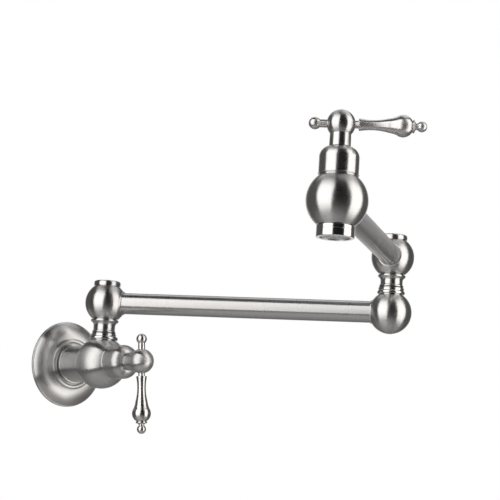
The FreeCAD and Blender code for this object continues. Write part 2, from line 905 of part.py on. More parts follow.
def make_handle_hub(doc, s, side, place):
    """A ball on a neck, bored for the spindle, the lever, the finial and the grub screw."""
    foot = bonnet_top(s) + s.hub_gap
    centre = hub_centre(s)
    body = new_body(doc, f"{side}_handle_hub")
    add_ball(body, "ball", s.hub_ball_radius, centre)
    neck = new_feature(body, "AdditiveCone", "neck")
    neck.setExpression("Radius1", s.hub_neck_foot_radius.text)
    neck.setExpression("Radius2", s.hub_neck_radius.text)
    neck.setExpression("Height", (centre - foot).text)
    neck.setExpression("Placement.Base.z", foot.text)
    drill(body, "spindle_bore", s.spindle_top_radius + s.thread_gap, "Z", foot - s.end_gap,
          centre + s.spindle_reach + s.hub_bore_spare)
    stud_radius = s.handle_stud_radius + s.thread_gap
    for name, way, neck_radius in (("lever", "X", s.lever_neck_radius), ("finial", "-X", s.finial_neck_radius)):
        face = height_on_ball(s.hub_ball_radius, neck_radius)
        drill_at_hub(body, s, f"{name}_face", neck_radius + s.thread_gap, way, face)
        drill_at_hub(body, s, f"{name}_stud", stud_radius, way, s.handle_stud_reach - s.end_gap)
    drill_at_hub(body, s, "screw_hole", s.handle_screw_radius + s.thread_gap, "Y", s.end_gap)
    place.set(body)
    return body


def drill_at_hub(body, s, name, radius, way, start):
    """Cuts a hole outwards through the hub's ball, from a way off its centre."""
    drill(body, name, radius, way, start, s.hub_ball_radius + s.end_gap)
    hole = body.Group[-1]
    hole.setExpression("Placement.Base.z", hub_centre(s).text)


def make_handle_lever(doc, s, side, place):
    """The turned lever: collar, long waist, swell, bead and a ball at its tip."""
    start = height_on_ball(s.hub_ball_radius, s.lever_neck_radius)
    collar_end = s.lever_collar_start + s.lever_collar_width
    bead_end = s.lever_swell_end + s.lever_bead_width
    neck_start = bead_end + s.lever_bead_taper
    tip_start = s.lever_finial_centre - height_on_ball(s.lever_finial_radius, s.lever_finial_neck_radius)
    return turned_piece(doc, f"{side}_handle_lever", place, [
        (0, s.handle_stud_reach),
        (s.handle_stud_radius, s.handle_stud_reach),
        (s.handle_stud_radius, start),
        (s.lever_neck_radius, start),
        (s.lever_neck_radius, s.lever_collar_start),
        (s.lever_collar_radius, s.lever_collar_start),
        (s.lever_collar_radius, collar_end),
        Bow(-s.lever_waist_depth),
        (s.lever_swell_start_radius, s.lever_swell_start),
        Bow(-s.lever_swell_depth),
        (s.lever_swell_shoulder_radius, s.lever_swell_shoulder),
        Bow(s.lever_swell_rise),
        (s.lever_swell_end_radius, s.lever_swell_end),
        Bow(s.lever_bead_rise - 0.01),
        (s.lever_swell_end_radius, bead_end),
        (s.lever_finial_neck_radius, neck_start),
        (s.lever_finial_neck_radius, tip_start),
        Bow(pole_rise(s.lever_finial_radius, s.lever_finial_neck_radius)),
        (0, s.lever_finial_centre + s.lever_finial_radius),
    ])


def make_handle_finial(doc, s, side, place):
    """The short ball ended stub across from the lever."""
    start = height_on_ball(s.hub_ball_radius, s.finial_neck_radius)
    centre = s.finial_top - s.finial_radius
    ball_start = centre - height_on_ball(s.finial_radius, s.finial_neck_radius)
    return turned_piece(doc, f"{side}_handle_finial", place, [
        (0, s.handle_stud_reach),
        (s.handle_stud_radius, s.handle_stud_reach),
        (s.handle_stud_radius, start),
        (s.finial_neck_radius, start),
        (s.finial_neck_radius, ball_start),
        Bow(pole_rise(s.finial_radius, s.finial_neck_radius)),
        (0, s.finial_top),
    ])


def make_handle_screw(doc, s, side, place):
    """The grub screw that holds the hub on the spindle's flat."""
    top = s.hub_ball_radius - s.handle_screw_recess
    tip = s.spindle_flat + s.thread_gap
    body = new_body(doc, f"{side}_handle_screw")
    turn_outline(body, [(0, tip), (s.handle_screw_radius, tip), (s.handle_screw_radius, top), (0, top)])
    add_prism(body, "SubtractivePrism", "key", s.handle_screw_key_radius, top - s.handle_screw_key_depth,
              s.handle_screw_key_depth + s.end_gap)
    place.set(body)
    return body


# ---------------------------------------------------------------- swivels


class Swivel:
    """The levels of one swivel, from the centre of the ball below it."""

    def __init__(self, s, side, base_radius, rise, collar_radius, bead_radius):
        self.side = side
        self.collar_radius = collar_radius
        self.bead_radius = bead_radius
        self.seat = height_on_ball(base_radius, collar_radius - s.bead_crown)
        self.flange_foot = self.seat + s.collar_height
        self.washer_foot = self.flange_foot + s.post_flange_height
        self.sleeve_foot = self.washer_foot + s.thrust_washer_thickness + s.end_gap
        self.ball_seat = rise - height_on_ball(s.joint_ball_radius, bead_radius - s.bead_crown)
        self.floor = rise - s.chamber_floor_drop
        self.retainer_foot = self.floor + s.end_gap
        self.ring_foot = self.retainer_foot + s.retaining_washer_thickness
        self.post_top = rise - s.post_top_drop
        self.post_bore = s.post_radius + s.running_gap

    def groove_foot(self, s, number):
        return self.sleeve_foot + s.post_groove_rise + s.post_groove_pitch * number


def make_swivel_collar(doc, s, swivel, place):
    """The beaded ring that the post clamps on the ball below."""
    bead_top = swivel.flange_foot - s.collar_ledge_height
    edge = swivel.collar_radius - s.bead_crown
    bore = s.post_foot_radius + s.thread_gap
    return turned_piece(doc, f"{swivel.side}_swivel_collar", place, [
        (bore, swivel.seat),
        (edge, swivel.seat),
        Bow(s.bead_crown),
        (edge, bead_top),
        (s.collar_ledge_radius, bead_top),
        (s.collar_ledge_radius, swivel.flange_foot),
        (bore, swivel.flange_foot),
    ])


def make_swivel_post(doc, s, swivel, place):
    """The hollow post: foot thread, flange, two seal grooves and a groove for the retaining ring."""
    ring_top = swivel.ring_foot + s.retaining_ring_thickness + s.end_gap
    outline = [
        (s.post_bore_radius, swivel.seat - s.post_foot_length),
        (s.post_foot_radius, swivel.seat - s.post_foot_length),
        (s.post_foot_radius, swivel.flange_foot),
        (s.post_flange_radius, swivel.flange_foot),
        (s.post_flange_radius, swivel.washer_foot),
        (s.post_radius, swivel.washer_foot),
    ]
    for number in range(O_RINGS_PER_POST):
        foot = swivel.groove_foot(s, number)
        outline += step_in(s.post_radius, s.post_groove_radius, foot, foot + s.post_groove_width)
    outline += step_in(s.post_radius, s.retaining_groove_radius, swivel.ring_foot, ring_top)
    outline += [(s.post_radius, swivel.post_top), (s.post_bore_radius, swivel.post_top)]
    return turned_piece(doc, f"{swivel.side}_swivel_post", place, outline)


def step_in(outer_radius, groove_radius, foot, top):
    """The four corners of a groove, from below."""
    return [(outer_radius, foot), (groove_radius, foot), (groove_radius, top), (outer_radius, top)]


def make_swivel_o_rings(doc, s, swivel, place):
    """Both seals of a post, as one group of separate rings."""
    section = (swivel.post_bore - s.post_groove_radius) / 2 - s.seal_gap
    rings = []
    for number in range(O_RINGS_PER_POST):
        ring = doc.addObject("Part::Torus", f"{swivel.side}_o_ring_{number + 1}")
        ring.setExpression("Radius1", (s.post_groove_radius + s.seal_gap + section).text)
        ring.setExpression("Radius2", section.text)
        height = swivel.groove_foot(s, number) + s.post_groove_width / 2
        ring.setExpression("Placement.Base.z", height.text)
        rings.append(ring)
    group = doc.addObject("Part::Compound", f"{swivel.side}_swivel_o_rings")
    group.Label = f"{swivel.side}_swivel_o_rings"
    group.Links = rings
    place.set(group)
    return group


def make_thrust_washer(doc, s, swivel, place):
    return turned_piece(doc, f"{swivel.side}_thrust_washer", place,
                        ring_outline(s.post_radius + s.running_gap, s.thrust_washer_radius, swivel.washer_foot,
                                     swivel.washer_foot + s.thrust_washer_thickness))


def make_retaining_washer(doc, s, swivel, place):
    return turned_piece(doc, f"{swivel.side}_retaining_washer", place,
                        ring_outline(s.post_radius + s.running_gap, s.retaining_washer_radius,
                                     swivel.retainer_foot, swivel.ring_foot))


def make_retaining_ring(doc, s, swivel, place):
    """The open ring that snaps into the post's top groove."""
    body = new_body(doc, f"{swivel.side}_retaining_ring")
    top = swivel.ring_foot + s.retaining_ring_thickness
    turn_outline(body, ring_outline(s.retaining_groove_radius + s.thread_gap, s.retaining_ring_radius,
                                    swivel.ring_foot, top))
    cut_box(body, "mouth", (0, -s.retaining_ring_slot / 2, swivel.ring_foot - s.end_gap),
            (s.retaining_ring_radius * 2, s.retaining_ring_slot, s.retaining_ring_thickness + s.end_gap * 2))
    place.set(body)
    return body


def make_swivel_sleeve(doc, s, swivel, place):
    """The waisted sleeve that turns on the post and screws into the ball above."""
    foot_top = swivel.sleeve_foot + s.sleeve_foot_height
    bead_foot = swivel.ball_seat - s.sleeve_bead_height
    edge = swivel.bead_radius - s.bead_crown
    return turned_piece(doc, f"{swivel.side}_swivel_sleeve", place, [
        (swivel.post_bore, swivel.sleeve_foot),
        (s.sleeve_foot_radius, swivel.sleeve_foot),
        (s.sleeve_foot_radius, foot_top),
        (s.sleeve_waist_radius, foot_top + s.sleeve_foot_taper),
        (s.sleeve_waist_radius, bead_foot - s.sleeve_flare_height),
        Bow(-s.sleeve_flare_hollow),
        (edge, bead_foot),
        Bow(s.bead_crown),
        (edge, swivel.ball_seat),
        (s.sleeve_thread_radius, swivel.ball_seat),
        (s.sleeve_thread_radius, swivel.floor),
        (swivel.post_bore, swivel.floor),
    ])


# ---------------------------------------------------------------- arms


def make_pivot_ball(doc, s, side, bead_radius, place):
    """The ball at the start of an arm: sleeve below, cap above, tube at its side."""
    radius = s.joint_ball_radius
    sleeve_face = height_on_ball(radius, bead_radius - s.bead_crown)
    cap_floor = cap_seat(s) - s.cap_thread_length - s.cap_seal_thickness
    body = new_body(doc, f"{side}_pivot_ball")
    add_ball(body, "ball", radius)
    bore_socket(body, s, radius, "X", s.joint_socket_floor, s.socket_water_radius, 0)
    drill(body, "sleeve_face", radius, "-Z", sleeve_face, radius + s.end_gap)
    drill(body, "sleeve_thread", s.sleeve_thread_radius + s.thread_gap, "-Z", s.chamber_floor_drop,
          sleeve_face + s.end_gap)
    drill(body, "chamber", s.chamber_radius, "Z", -s.chamber_floor_drop, cap_floor + s.end_gap)
    drill(body, "cap_face", radius, "Z", cap_seat(s), radius + s.end_gap)
    drill(body, "cap_thread", s.cap_thread_radius + s.thread_gap, "Z", cap_floor, cap_seat(s) + s.end_gap)
    place.set(body)
    return body


def make_pivot_cap(doc, s, side, place):
    """The round edged screw cap over the swivel."""
    seat = cap_seat(s)
    foot = seat - s.cap_thread_length
    top = seat + s.cap_height
    hollow_top = foot + s.cap_hollow_depth
    return turned_piece(doc, f"{side}_pivot_cap", place, [
        (s.cap_hollow_radius, foot),
        (s.cap_thread_radius, foot),
        (s.cap_thread_radius, seat),
        (s.cap_radius, seat),
        (s.cap_radius, top - s.cap_round),
        Bow(s.cap_round * 0.29),
        (s.cap_radius - s.cap_round, top),
        (0, top),
        (0, hollow_top),
        (s.cap_hollow_radius, hollow_top),
    ])


def make_cap_seal(doc, s, side, place):
    foot = cap_seat(s) - s.cap_thread_length
    return turned_piece(doc, f"{side}_cap_seal", place,
                        ring_outline(s.chamber_radius, s.cap_thread_radius, foot - s.cap_seal_thickness, foot))


def make_arm_tube(doc, s, side, place, length, far_floor):
    """A round tube between the floors of two sockets."""
    return turned_piece(doc, f"{side}_arm_tube", place,
                        ring_outline(s.tube_radius - s.tube_wall, s.tube_radius,
                                     s.joint_socket_floor + s.end_gap, length - far_floor - s.end_gap))


def make_elbow_ball(doc, s, place):
    """The ball at the end of the inner arm, which carries the upper swivel."""
    body = new_body(doc, "elbow_ball")
    add_ball(body, "ball", s.joint_ball_radius)
    bore_socket(body, s, s.joint_ball_radius, "-X", s.joint_socket_floor, s.socket_water_radius, 0)
    bore_post_seat(body, s, s.joint_ball_radius, "Z", s.elbow_collar_radius, as_size(0))
    place.set(body)
    return body


# ---------------------------------------------------------------- outlet


def make_spout_outlet(doc, s, place):
    """The nozzle that screws up into the spout ball, with a nose for the aerator."""
    seat = -outlet_seat(s)
    ring_foot = -outlet_ring_foot(s)
    nose_foot = -outlet_nose_foot(s)
    return turned_piece(doc, "spout_outlet", place, [
        (s.outlet_bore_radius, nose_foot),
        (s.outlet_nose_radius, nose_foot),
        (s.outlet_nose_radius, ring_foot),
        (s.outlet_radius - s.outlet_edge, ring_foot),
        (s.outlet_radius, ring_foot + s.outlet_edge),
        (s.outlet_radius, seat),
        (s.outlet_thread_radius, seat),
        (s.outlet_thread_radius, seat + s.outlet_thread_length),
        (s.outlet_bore_radius, seat + s.outlet_thread_length),
    ])


def make_outlet_seal(doc, s, place):
    foot = s.outlet_thread_length - outlet_seat(s)
    return turned_piece(doc, "outlet_seal", place,
                        ring_outline(s.outlet_bore_radius, s.outlet_thread_radius, foot,
                                     foot + s.outlet_seal_thickness))


def make_aerator_housing(doc, s, place):
    """The screwed ring that holds the aerator under the outlet."""
    foot = -aerator_foot(s)
    top = -outlet_ring_foot(s)
    thread_radius = s.outlet_nose_radius + s.thread_gap
    return turned_piece(doc, "aerator_housing", place, [
        (s.aerator_lip_radius, foot),
        (s.outlet_radius - s.aerator_round, foot),
        Bow(s.aerator_round * 0.29),
        (s.outlet_radius, foot + s.aerator_round),
        (s.outlet_radius, top - s.outlet_edge),
        (s.outlet_radius - s.outlet_edge, top),
        (thread_radius, top),
        (thread_radius, foot + s.aerator_lip_height),
        (s.aerator_lip_radius, foot + s.aerator_lip_height),
    ])


def make_aerator_washer(doc, s, place):
    outer = s.outlet_nose_radius - s.thread_gap
    return turned_piece(doc, "aerator_washer", place,
                        ring_outline(s.aerator_washer_bore_radius, outer, -washer_foot(s),
                                     -outlet_nose_foot(s)))


def make_aerator_insert(doc, s, place):
    """The plastic cage with a ring of jets, hung by its rim."""
    foot = -insert_foot(s)
    rim_top = -washer_foot(s)
    top = rim_top + s.insert_height
    body = new_body(doc, "aerator_insert")
    turn_outline(body, [
        (0, foot),
        (s.screen_radius, foot),
        (s.screen_radius, rim_top),
        (s.insert_radius, rim_top),
        (s.insert_radius, top),
        (0, top),
    ])
    jet = new_feature(body, "SubtractiveCylinder", "jet")
    jet.setExpression("Radius", s.insert_jet_radius.text)
    jet.setExpression("Height", (top - foot + s.end_gap * 2).text)
    jet.setExpression("Placement.Base.x", s.insert_jet_circle.text)
    jet.setExpression("Placement.Base.z", (foot - s.end_gap).text)
    doc.recompute()
    ring = new_feature(body, "PolarPattern", "jets")
    ring.Originals = [jet]
    ring.Axis = (next(axis for axis in body.Origin.OriginFeatures if axis.Role == "Z_Axis"), [""])
    ring.Angle = 360
    ring.Occurrences = JET_COUNT
    body.Tip = ring
    place.set(body)
    return body


def square_hole(x, y, width):
    half = width / 2
    corners = [(x - half, y - half), (x + half, y - half), (x + half, y + half), (x - half, y + half)]
    points = [FreeCAD.Vector(*corner, 0) for corner in corners]
    return Part.makePolygon(points + points[:1])


def make_aerator_screen(doc, s, position):
    """A flat round net, as one holed face made thick."""
    pitch = s.screen_pitch.value
    gap = pitch - s.screen_wire.value
    reach = s.screen_clear_radius.value
    count = int(reach / pitch)
    wires = [Part.Wire(Part.makeCircle(s.screen_radius.value))]
    for column in range(-count, count + 1):
        for row in range(-count, count + 1):
            corner = math.hypot(abs(column) * pitch + gap / 2, abs(row) * pitch + gap / 2)
            if corner < reach:
                wires.append(square_hole(column * pitch, row * pitch, gap))
    face = Part.Face(wires, "Part::FaceMakerBullseye")
    screen = doc.addObject("Part::Feature", "aerator_screen")
    screen.Label = "aerator_screen"
    screen.Shape = face.extrude(FreeCAD.Vector(0, 0, s.screen_thickness.value))
    screen.Placement = FreeCAD.Placement(position, FreeCAD.Rotation())
    return screen


# ---------------------------------------------------------------- the whole tap


def make_valve_fittings(doc, s, side, ball, handle, lever, finial, screw):
    """The cartridge, the bonnet and the handle of one valve."""
    return [
        make_cartridge_body(doc, s, side, ball),
        make_seat_seal(doc, s, side, ball),
        make_disc(doc, s, f"{side}_fixed_disc", ball, fixed_disc_foot(s), "x"),
        make_bonnet(doc, s, side, ball),
        make_moving_disc(doc, s, side, handle),
        make_spindle(doc, s, side, handle),
        make_spindle_o_ring(doc, s, side, handle),
        make_handle_hub(doc, s, side, handle),
        make_handle_lever(doc, s, side, lever),
        make_handle_finial(doc, s, side, finial),
        make_handle_screw(doc, s, side, screw),
    ]


def make_wall_valve(doc, s):
    wall = Place(0, 0, 0, roll=90)
    ball = Place(0, -s.valve_standout, 0, roll=90)
    hub = Place(0, -(s.valve_standout + hub_centre(s)), 0)
    lean = s.wall_handle_lean
    return [
        make_wall_gasket(doc, s, wall),
        make_wall_flange(doc, s, wall),
        make_inlet_shank(doc, s, wall),
        make_inlet_seal(doc, s, wall),
        make_valve_body(doc, s, ball),
    ] + make_valve_fittings(doc, s, "wall", ball, ball.turned(0, 90 - lean, 90), hub.turned(0, 180 - lean),
                            hub.turned(180, lean), hub.turned(0, 90 - lean))


def make_swivel(doc, s, swivel, place):
    return [
        make_swivel_collar(doc, s, swivel, place),
        make_swivel_post(doc, s, swivel, place),
        make_swivel_o_rings(doc, s, swivel, place),
        make_thrust_washer(doc, s, swivel, place),
        make_retaining_washer(doc, s, swivel, place),
        make_retaining_ring(doc, s, swivel, place),
        make_swivel_sleeve(doc, s, swivel, place),
    ]


def make_inner_arm(doc, s, pivot, elbow):
    azimuth = s.inner_arm_azimuth
    ball = pivot.turned(azimuth)
    return [
        make_pivot_ball(doc, s, "inner", s.lower_bead_radius, ball),
        make_pivot_cap(doc, s, "inner", ball),
        make_cap_seal(doc, s, "inner", ball),
        make_arm_tube(doc, s, "inner", pivot.turned(azimuth, 90), s.inner_arm_length, s.joint_socket_floor),
        make_elbow_ball(doc, s, elbow.turned(azimuth)),
    ]


def make_outer_arm(doc, s, pivot, spout):
    azimuth = s.outer_arm_azimuth
    ball = pivot.turned(azimuth)
    return [
        make_pivot_ball(doc, s, "outer", s.elbow_bead_radius, ball),
        make_pivot_cap(doc, s, "outer", ball),
        make_cap_seal(doc, s, "outer", ball),
        make_arm_tube(doc, s, "outer", pivot.turned(azimuth, 90), s.outer_arm_length, s.spout_socket_floor),
        make_spout_body(doc, s, spout.turned(azimuth)),
    ]


def make_spout(doc, s, spout):
    """The outlet parts and the spout's own valve."""
    x, y, z = (size.value for size in spout.origin)
    handle = s.spout_handle_azimuth
    hub = spout.raised(hub_centre(s))
    return [
        make_spout_outlet(doc, s, spout),
        make_outlet_seal(doc, s, spout),
        make_aerator_housing(doc, s, spout),
        make_aerator_washer(doc, s, spout),
        make_aerator_insert(doc, s, spout),
        make_aerator_screen(doc, s, FreeCAD.Vector(x, y, z - screen_foot(s).value)),
    ] + make_valve_fittings(doc, s, "spout", spout.turned(s.outer_arm_azimuth), spout.turned(handle),
                            hub.turned(handle, 90), hub.turned(handle + 180, 90), hub.turned(handle + 90, 90))


def build_tap(doc):
    s = Sheet(doc, SIZES)
    valve = Place(0, -s.valve_standout, 0)
    inner_pivot = valve.raised(s.lower_swivel_rise)
    elbow = Place(s.inner_arm_length * cosine(s.inner_arm_azimuth),
                  s.inner_arm_length * sine(s.inner_arm_azimuth) - s.valve_standout, s.lower_swivel_rise)
    outer_pivot = elbow.raised(s.elbow_swivel_rise)
    spout = Place(elbow.origin[0] + s.outer_arm_length * cosine(s.outer_arm_azimuth),
                  elbow.origin[1] + s.outer_arm_length * sine(s.outer_arm_azimuth),
                  s.lower_swivel_rise + s.elbow_swivel_rise)
    lower = Swivel(s, "lower", s.valve_ball_radius, s.lower_swivel_rise, s.lower_collar_radius,
                   s.lower_bead_radius)
    upper = Swivel(s, "elbow", s.joint_ball_radius, s.elbow_swivel_rise, s.elbow_collar_radius,
                   s.elbow_bead_radius)
    pieces = make_wall_valve(doc, s)
    pieces += make_swivel(doc, s, lower, valve)
    pieces += make_inner_arm(doc, s, inner_pivot, elbow)
    pieces += make_swivel(doc, s, upper, elbow)
    pieces += make_outer_arm(doc, s, outer_pivot, spout)
    pieces += make_spout(doc, s, spout)
    return pieces


def check(doc, pieces):
    """Stops at a failed object or an empty, open or split piece."""
    for thing in doc.Objects:
        if "Invalid" in thing.State or "Error" in thing.State:
            raise RuntimeError(f"{thing.Label} failed: {thing.State}")
    for piece in pieces:
        if piece.Shape.isNull() or not piece.Shape.isValid():
            raise RuntimeError(f"{piece.Label} has no valid shape")


def write_pieces(pieces):
    os.makedirs("parts", exist_ok=True)
    for piece in pieces:
        piece.Shape.exportStep(f"parts/{piece.Label}.step")
        box = piece.Shape.BoundBox
        print(f"{piece.Label}: {len(piece.Shape.Solids)} solid, {piece.Shape.Volume:.1f} mm3, "
              f"z {box.ZMin:.2f} to {box.ZMax:.2f}")


document = FreeCAD.newDocument("pot_filler")
tap = build_tap(document)
document.recompute()
check(document, tap)
write_pieces(tap)
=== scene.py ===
"""Looks of a wall mounted pot filler: brushed nickel pieces turned on their own axes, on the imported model."""

import json
import logging
import math
from dataclasses import dataclass, field
from enum import Enum

import bmesh
import bpy
from mathutils import Euler, Matrix, Vector


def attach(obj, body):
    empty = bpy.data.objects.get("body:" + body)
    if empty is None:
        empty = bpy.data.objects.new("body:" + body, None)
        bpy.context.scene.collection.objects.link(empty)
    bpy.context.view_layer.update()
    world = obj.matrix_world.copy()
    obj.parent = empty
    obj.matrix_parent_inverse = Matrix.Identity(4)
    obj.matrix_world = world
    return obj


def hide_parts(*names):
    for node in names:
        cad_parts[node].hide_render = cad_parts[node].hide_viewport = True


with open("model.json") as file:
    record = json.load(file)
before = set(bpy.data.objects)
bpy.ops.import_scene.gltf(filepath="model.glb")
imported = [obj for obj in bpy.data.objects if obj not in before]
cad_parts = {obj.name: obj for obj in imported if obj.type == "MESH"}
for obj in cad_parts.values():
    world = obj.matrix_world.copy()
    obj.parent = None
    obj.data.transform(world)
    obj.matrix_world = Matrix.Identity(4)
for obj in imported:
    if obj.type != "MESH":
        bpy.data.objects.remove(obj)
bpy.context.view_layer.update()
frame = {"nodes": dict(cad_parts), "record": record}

LOG = logging.getLogger("pot_filler")
MM = 0.001
WHITE = (1.0, 1.0, 1.0, 1.0)
Outline = list[tuple]


@dataclass(frozen=True)
class Station:
    """Where a piece's own upright axis stands: an origin in millimetres, then turns in degrees."""

    origin: tuple[float, float, float]
    yaw: float = 0.0
    pitch: float = 0.0
    roll: float = 0.0

    def turn(self) -> Euler:
        """Gives the turns as one Euler, roll first and yaw last."""
        return Euler([math.radians(angle) for angle in (self.roll, self.pitch, self.yaw)], "XYZ")

    def matrix(self) -> Matrix:
        """Gives the placing of a mesh drawn about the upright axis."""
        return Matrix.Translation(Vector(self.origin) * MM) @ self.turn().to_matrix().to_4x4()

    def raised(self, height: float) -> "Station":
        """Gives the same turns, higher up the world's Z axis."""
        x, y, z = self.origin
        return Station((x, y, z + height), self.yaw, self.pitch, self.roll)

    def turned(self, yaw: float = 0.0, pitch: float = 0.0, roll: float = 0.0) -> "Station":
        """Gives the same origin with new turns."""
        return Station(self.origin, yaw, pitch, roll)


@dataclass(frozen=True)
class Layout:
    """The plan of the tap: where its axes stand, in millimetres and degrees."""

    valve_standout: float = 45.0
    valve_ball: float = 19.5
    joint_ball: float = 15.8
    handle_height: float = 48.49
    lower_rise: float = 45.6
    elbow_rise: float = 40.9
    arm_length: float = 217.0
    inner_azimuth: float = -54.2
    outer_azimuth: float = -145.7
    wall_lean: float = 5.0
    spout_handle_azimuth: float = -47.8

    def wall(self) -> Station:
        """Gives the inlet's axis, out of the wall."""
        return Station((0.0, 0.0, 0.0), roll=90.0)

    def valve(self) -> Station:
        """Gives the valve ball's centre, its axis out of the wall."""
        return Station((0.0, -self.valve_standout, 0.0), roll=90.0)

    def swivel(self) -> Station:
        """Gives the valve ball's centre, its axis upright."""
        return Station((0.0, -self.valve_standout, 0.0))

    def reach(self, start: Station, azimuth: float, rise: float) -> Station:
        """Gives the far end of an arm.

        Args:
            start: the arm's near end.
            azimuth: the way that the arm points, from +X towards +Y.
            rise: how much higher the far axis starts.

        Returns:
            The far end's station, upright.
        """
        x, y, z = start.origin
        angle = math.radians(azimuth)
        return Station((x + self.arm_length * math.cos(angle), y + self.arm_length * math.sin(angle), z + rise))

    def inner_pivot(self) -> Station:
        """Gives the ball at the inner arm's near end."""
        return self.swivel().raised(self.lower_rise)

    def elbow(self) -> Station:
        """Gives the ball at the inner arm's far end."""
        return self.reach(self.inner_pivot(), self.inner_azimuth, 0.0)

    def outer_pivot(self) -> Station:
        """Gives the ball at the outer arm's near end."""
        return self.elbow().raised(self.elbow_rise)

    def spout(self) -> Station:
        """Gives the spout ball's centre."""
        return self.reach(self.outer_pivot(), self.outer_azimuth, 0.0)


def height_on_ball(ball_radius: float, ring_radius: float) -> float:
    """Gives the height over a ball's centre at which its radius is that of a ring."""
    return math.sqrt(ball_radius**2 - ring_radius**2)


def pole_rise(ball_radius: float, ring_radius: float) -> float:
    """Gives the rise of a bow that follows a ball from a ring on it to its far pole."""
    return ball_radius - math.sqrt(ball_radius * (ball_radius - height_on_ball(ball_radius, ring_radius)) / 2)


@dataclass(frozen=True)
class Bow:
    """A round stretch of an outline, by how far it stands proud of its chord, or is hollow if negative."""

    rise: float
    steps: int = 12


class Lathe:
    """Draws an outline in the local XZ plane, turns it about the upright axis and rounds its sharp edges."""

    def __init__(self, steps: int = 128) -> None:
        """Starts empty.

        Args:
            steps: how many sides a full turn has.
        """
        self.steps = steps

    def draw(self, outline: Outline, closed: bool = True) -> bmesh.types.BMesh:
        """Draws an outline as wire.

        Args:
            outline: corners (radius, height) in millimetres, with a Bow where the next stretch is round.
            closed: whether the last corner is joined to the first.

        Returns:
            A mesh of the wire alone.
        """
        mesh = bmesh.new()
        first = tip = None
        bow = None
        for item in outline:
            if isinstance(item, Bow):
                bow = item
                continue
            place = Vector((item[0], 0.0, item[1])) * MM
            if tip is None:
                first = tip = mesh.verts.new(place)
            elif bow is None:
                tip = bmesh.ops.extrude_vert_indiv(mesh, verts=[tip])["verts"][0]
                tip.co = place
            else:
                tip = self.round(mesh, tip, place, bow)
            bow = None
        if closed:
            mesh.edges.new((tip, first))
        return mesh

    def round(self, mesh: bmesh.types.BMesh, tip: bmesh.types.BMVert, end: Vector, bow: Bow) -> bmesh.types.BMVert:
        """Spins the tip of a wire along an arc.

        Args:
            mesh: the wire.
            tip: its last vertex.
            end: where the arc ends.
            bow: how round it is.

        Returns:
            The new last vertex.
        """
        chord = end - tip.co
        rise = bow.rise * MM
        bend = (chord.length**2 / 4 + rise**2) / (2 * rise)
        side = Vector((chord.z, 0.0, -chord.x)).normalized()
        centre = (tip.co + end) / 2 + side * (rise - bend)
        spun = bmesh.ops.spin(mesh, geom=[tip], cent=centre, axis=(0.0, -1.0, 0.0), dvec=(0.0, 0.0, 0.0),
                              angle=4 * math.atan(2 * rise / chord.length), steps=bow.steps,
                              use_merge=False, use_normal_flip=False, use_duplicate=False)
        last = next(item for item in spun["geom_last"] if isinstance(item, bmesh.types.BMVert))
        last.co = end
        return last

    def turn(self, outline: Outline, edge: float = 0.15, closed: bool = True) -> bmesh.types.BMesh:
        """Turns an outline into a closed shell.

        Args:
            outline: corners and bows, as draw takes them.
            edge: the width of the rounding on its sharp edges, in millimetres.
            closed: whether the outline is a ring, or ends on the axis.

        Returns:
            The shell, about the upright axis.
        """
        mesh = self.draw(outline, closed)
        bmesh.ops.spin(mesh, geom=mesh.verts[:] + mesh.edges[:], cent=(0.0, 0.0, 0.0), axis=(0.0, 0.0, 1.0),
                       dvec=(0.0, 0.0, 0.0), angle=math.tau, steps=self.steps, use_merge=True,
                       use_normal_flip=False, use_duplicate=False)
        bmesh.ops.remove_doubles(mesh, verts=mesh.verts[:], dist=1e-6)
        bmesh.ops.recalc_face_normals(mesh, faces=mesh.faces[:])
        round_edges(mesh, edge)
        return mesh


def round_edges(mesh: bmesh.types.BMesh, width: float, least_turn: float = 24.0) -> None:
    """Rounds the sharp edges of a closed shell.

    Args:
        mesh: the shell.
        width: the width of the rounding in millimetres.
        least_turn: the least turn, in degrees, that counts as sharp.
    """
    limit = math.radians(least_turn)
    sharp = [edge for edge in mesh.edges if len(edge.link_faces) == 2 and edge.calc_face_angle(0.0) > limit]
    bmesh.ops.bevel(mesh, geom=sharp, offset=width * MM, offset_type="OFFSET", segments=3, profile=0.5,
                    affect="EDGES", clamp_overlap=True, material=-1, loop_slide=True)


class Grain(Enum):
    """Which way the finishing lines of a metal run about a piece's own axis."""

    ROUND = "round the axis"
    NONE = "none"


class Wiring:
    """A node tree, built from short calls."""

    def __init__(self, tree: bpy.types.NodeTree) -> None:
        """Keeps the tree."""
        self.tree = tree

    def add(self, kind: str, sockets: dict | None = None, **settings: object) -> bpy.types.Node:
        """Adds a node.

        Args:
            kind: its type, without the ShaderNode at the start.
            sockets: a value or an output socket for each named or numbered input.
            settings: its other properties.

        Returns:
            The node.
        """
        node = self.tree.nodes.new("ShaderNode" + kind)
        for name, value in settings.items():
            setattr(node, name, value)
        for name, value in (sockets or {}).items():
            self.put(value, node.inputs[name])
        return node

    def put(self, value: object, socket: bpy.types.NodeSocket) -> None:
        """Links an output to a socket, or sets a plain value on it."""
        if isinstance(value, bpy.types.NodeSocket):
            self.tree.links.new(value, socket)
        else:
            socket.default_value = value

    def maths(self, operation: str, *values: object) -> bpy.types.NodeSocket:
        """Gives the output of a Math node over some values or sockets."""
        return self.add("Math", dict(enumerate(values)), operation=operation).outputs[0]

    def between(self, value: bpy.types.NodeSocket, low: float, high: float,
                start: float = 0.3, end: float = 0.7) -> bpy.types.NodeSocket:
        """Gives a value stretched from the range start to end onto the range low to high."""
        return self.add("MapRange", {"Value": value, "From Min": start, "From Max": end, "To Min": low,
                                     "To Max": high}).outputs[0]


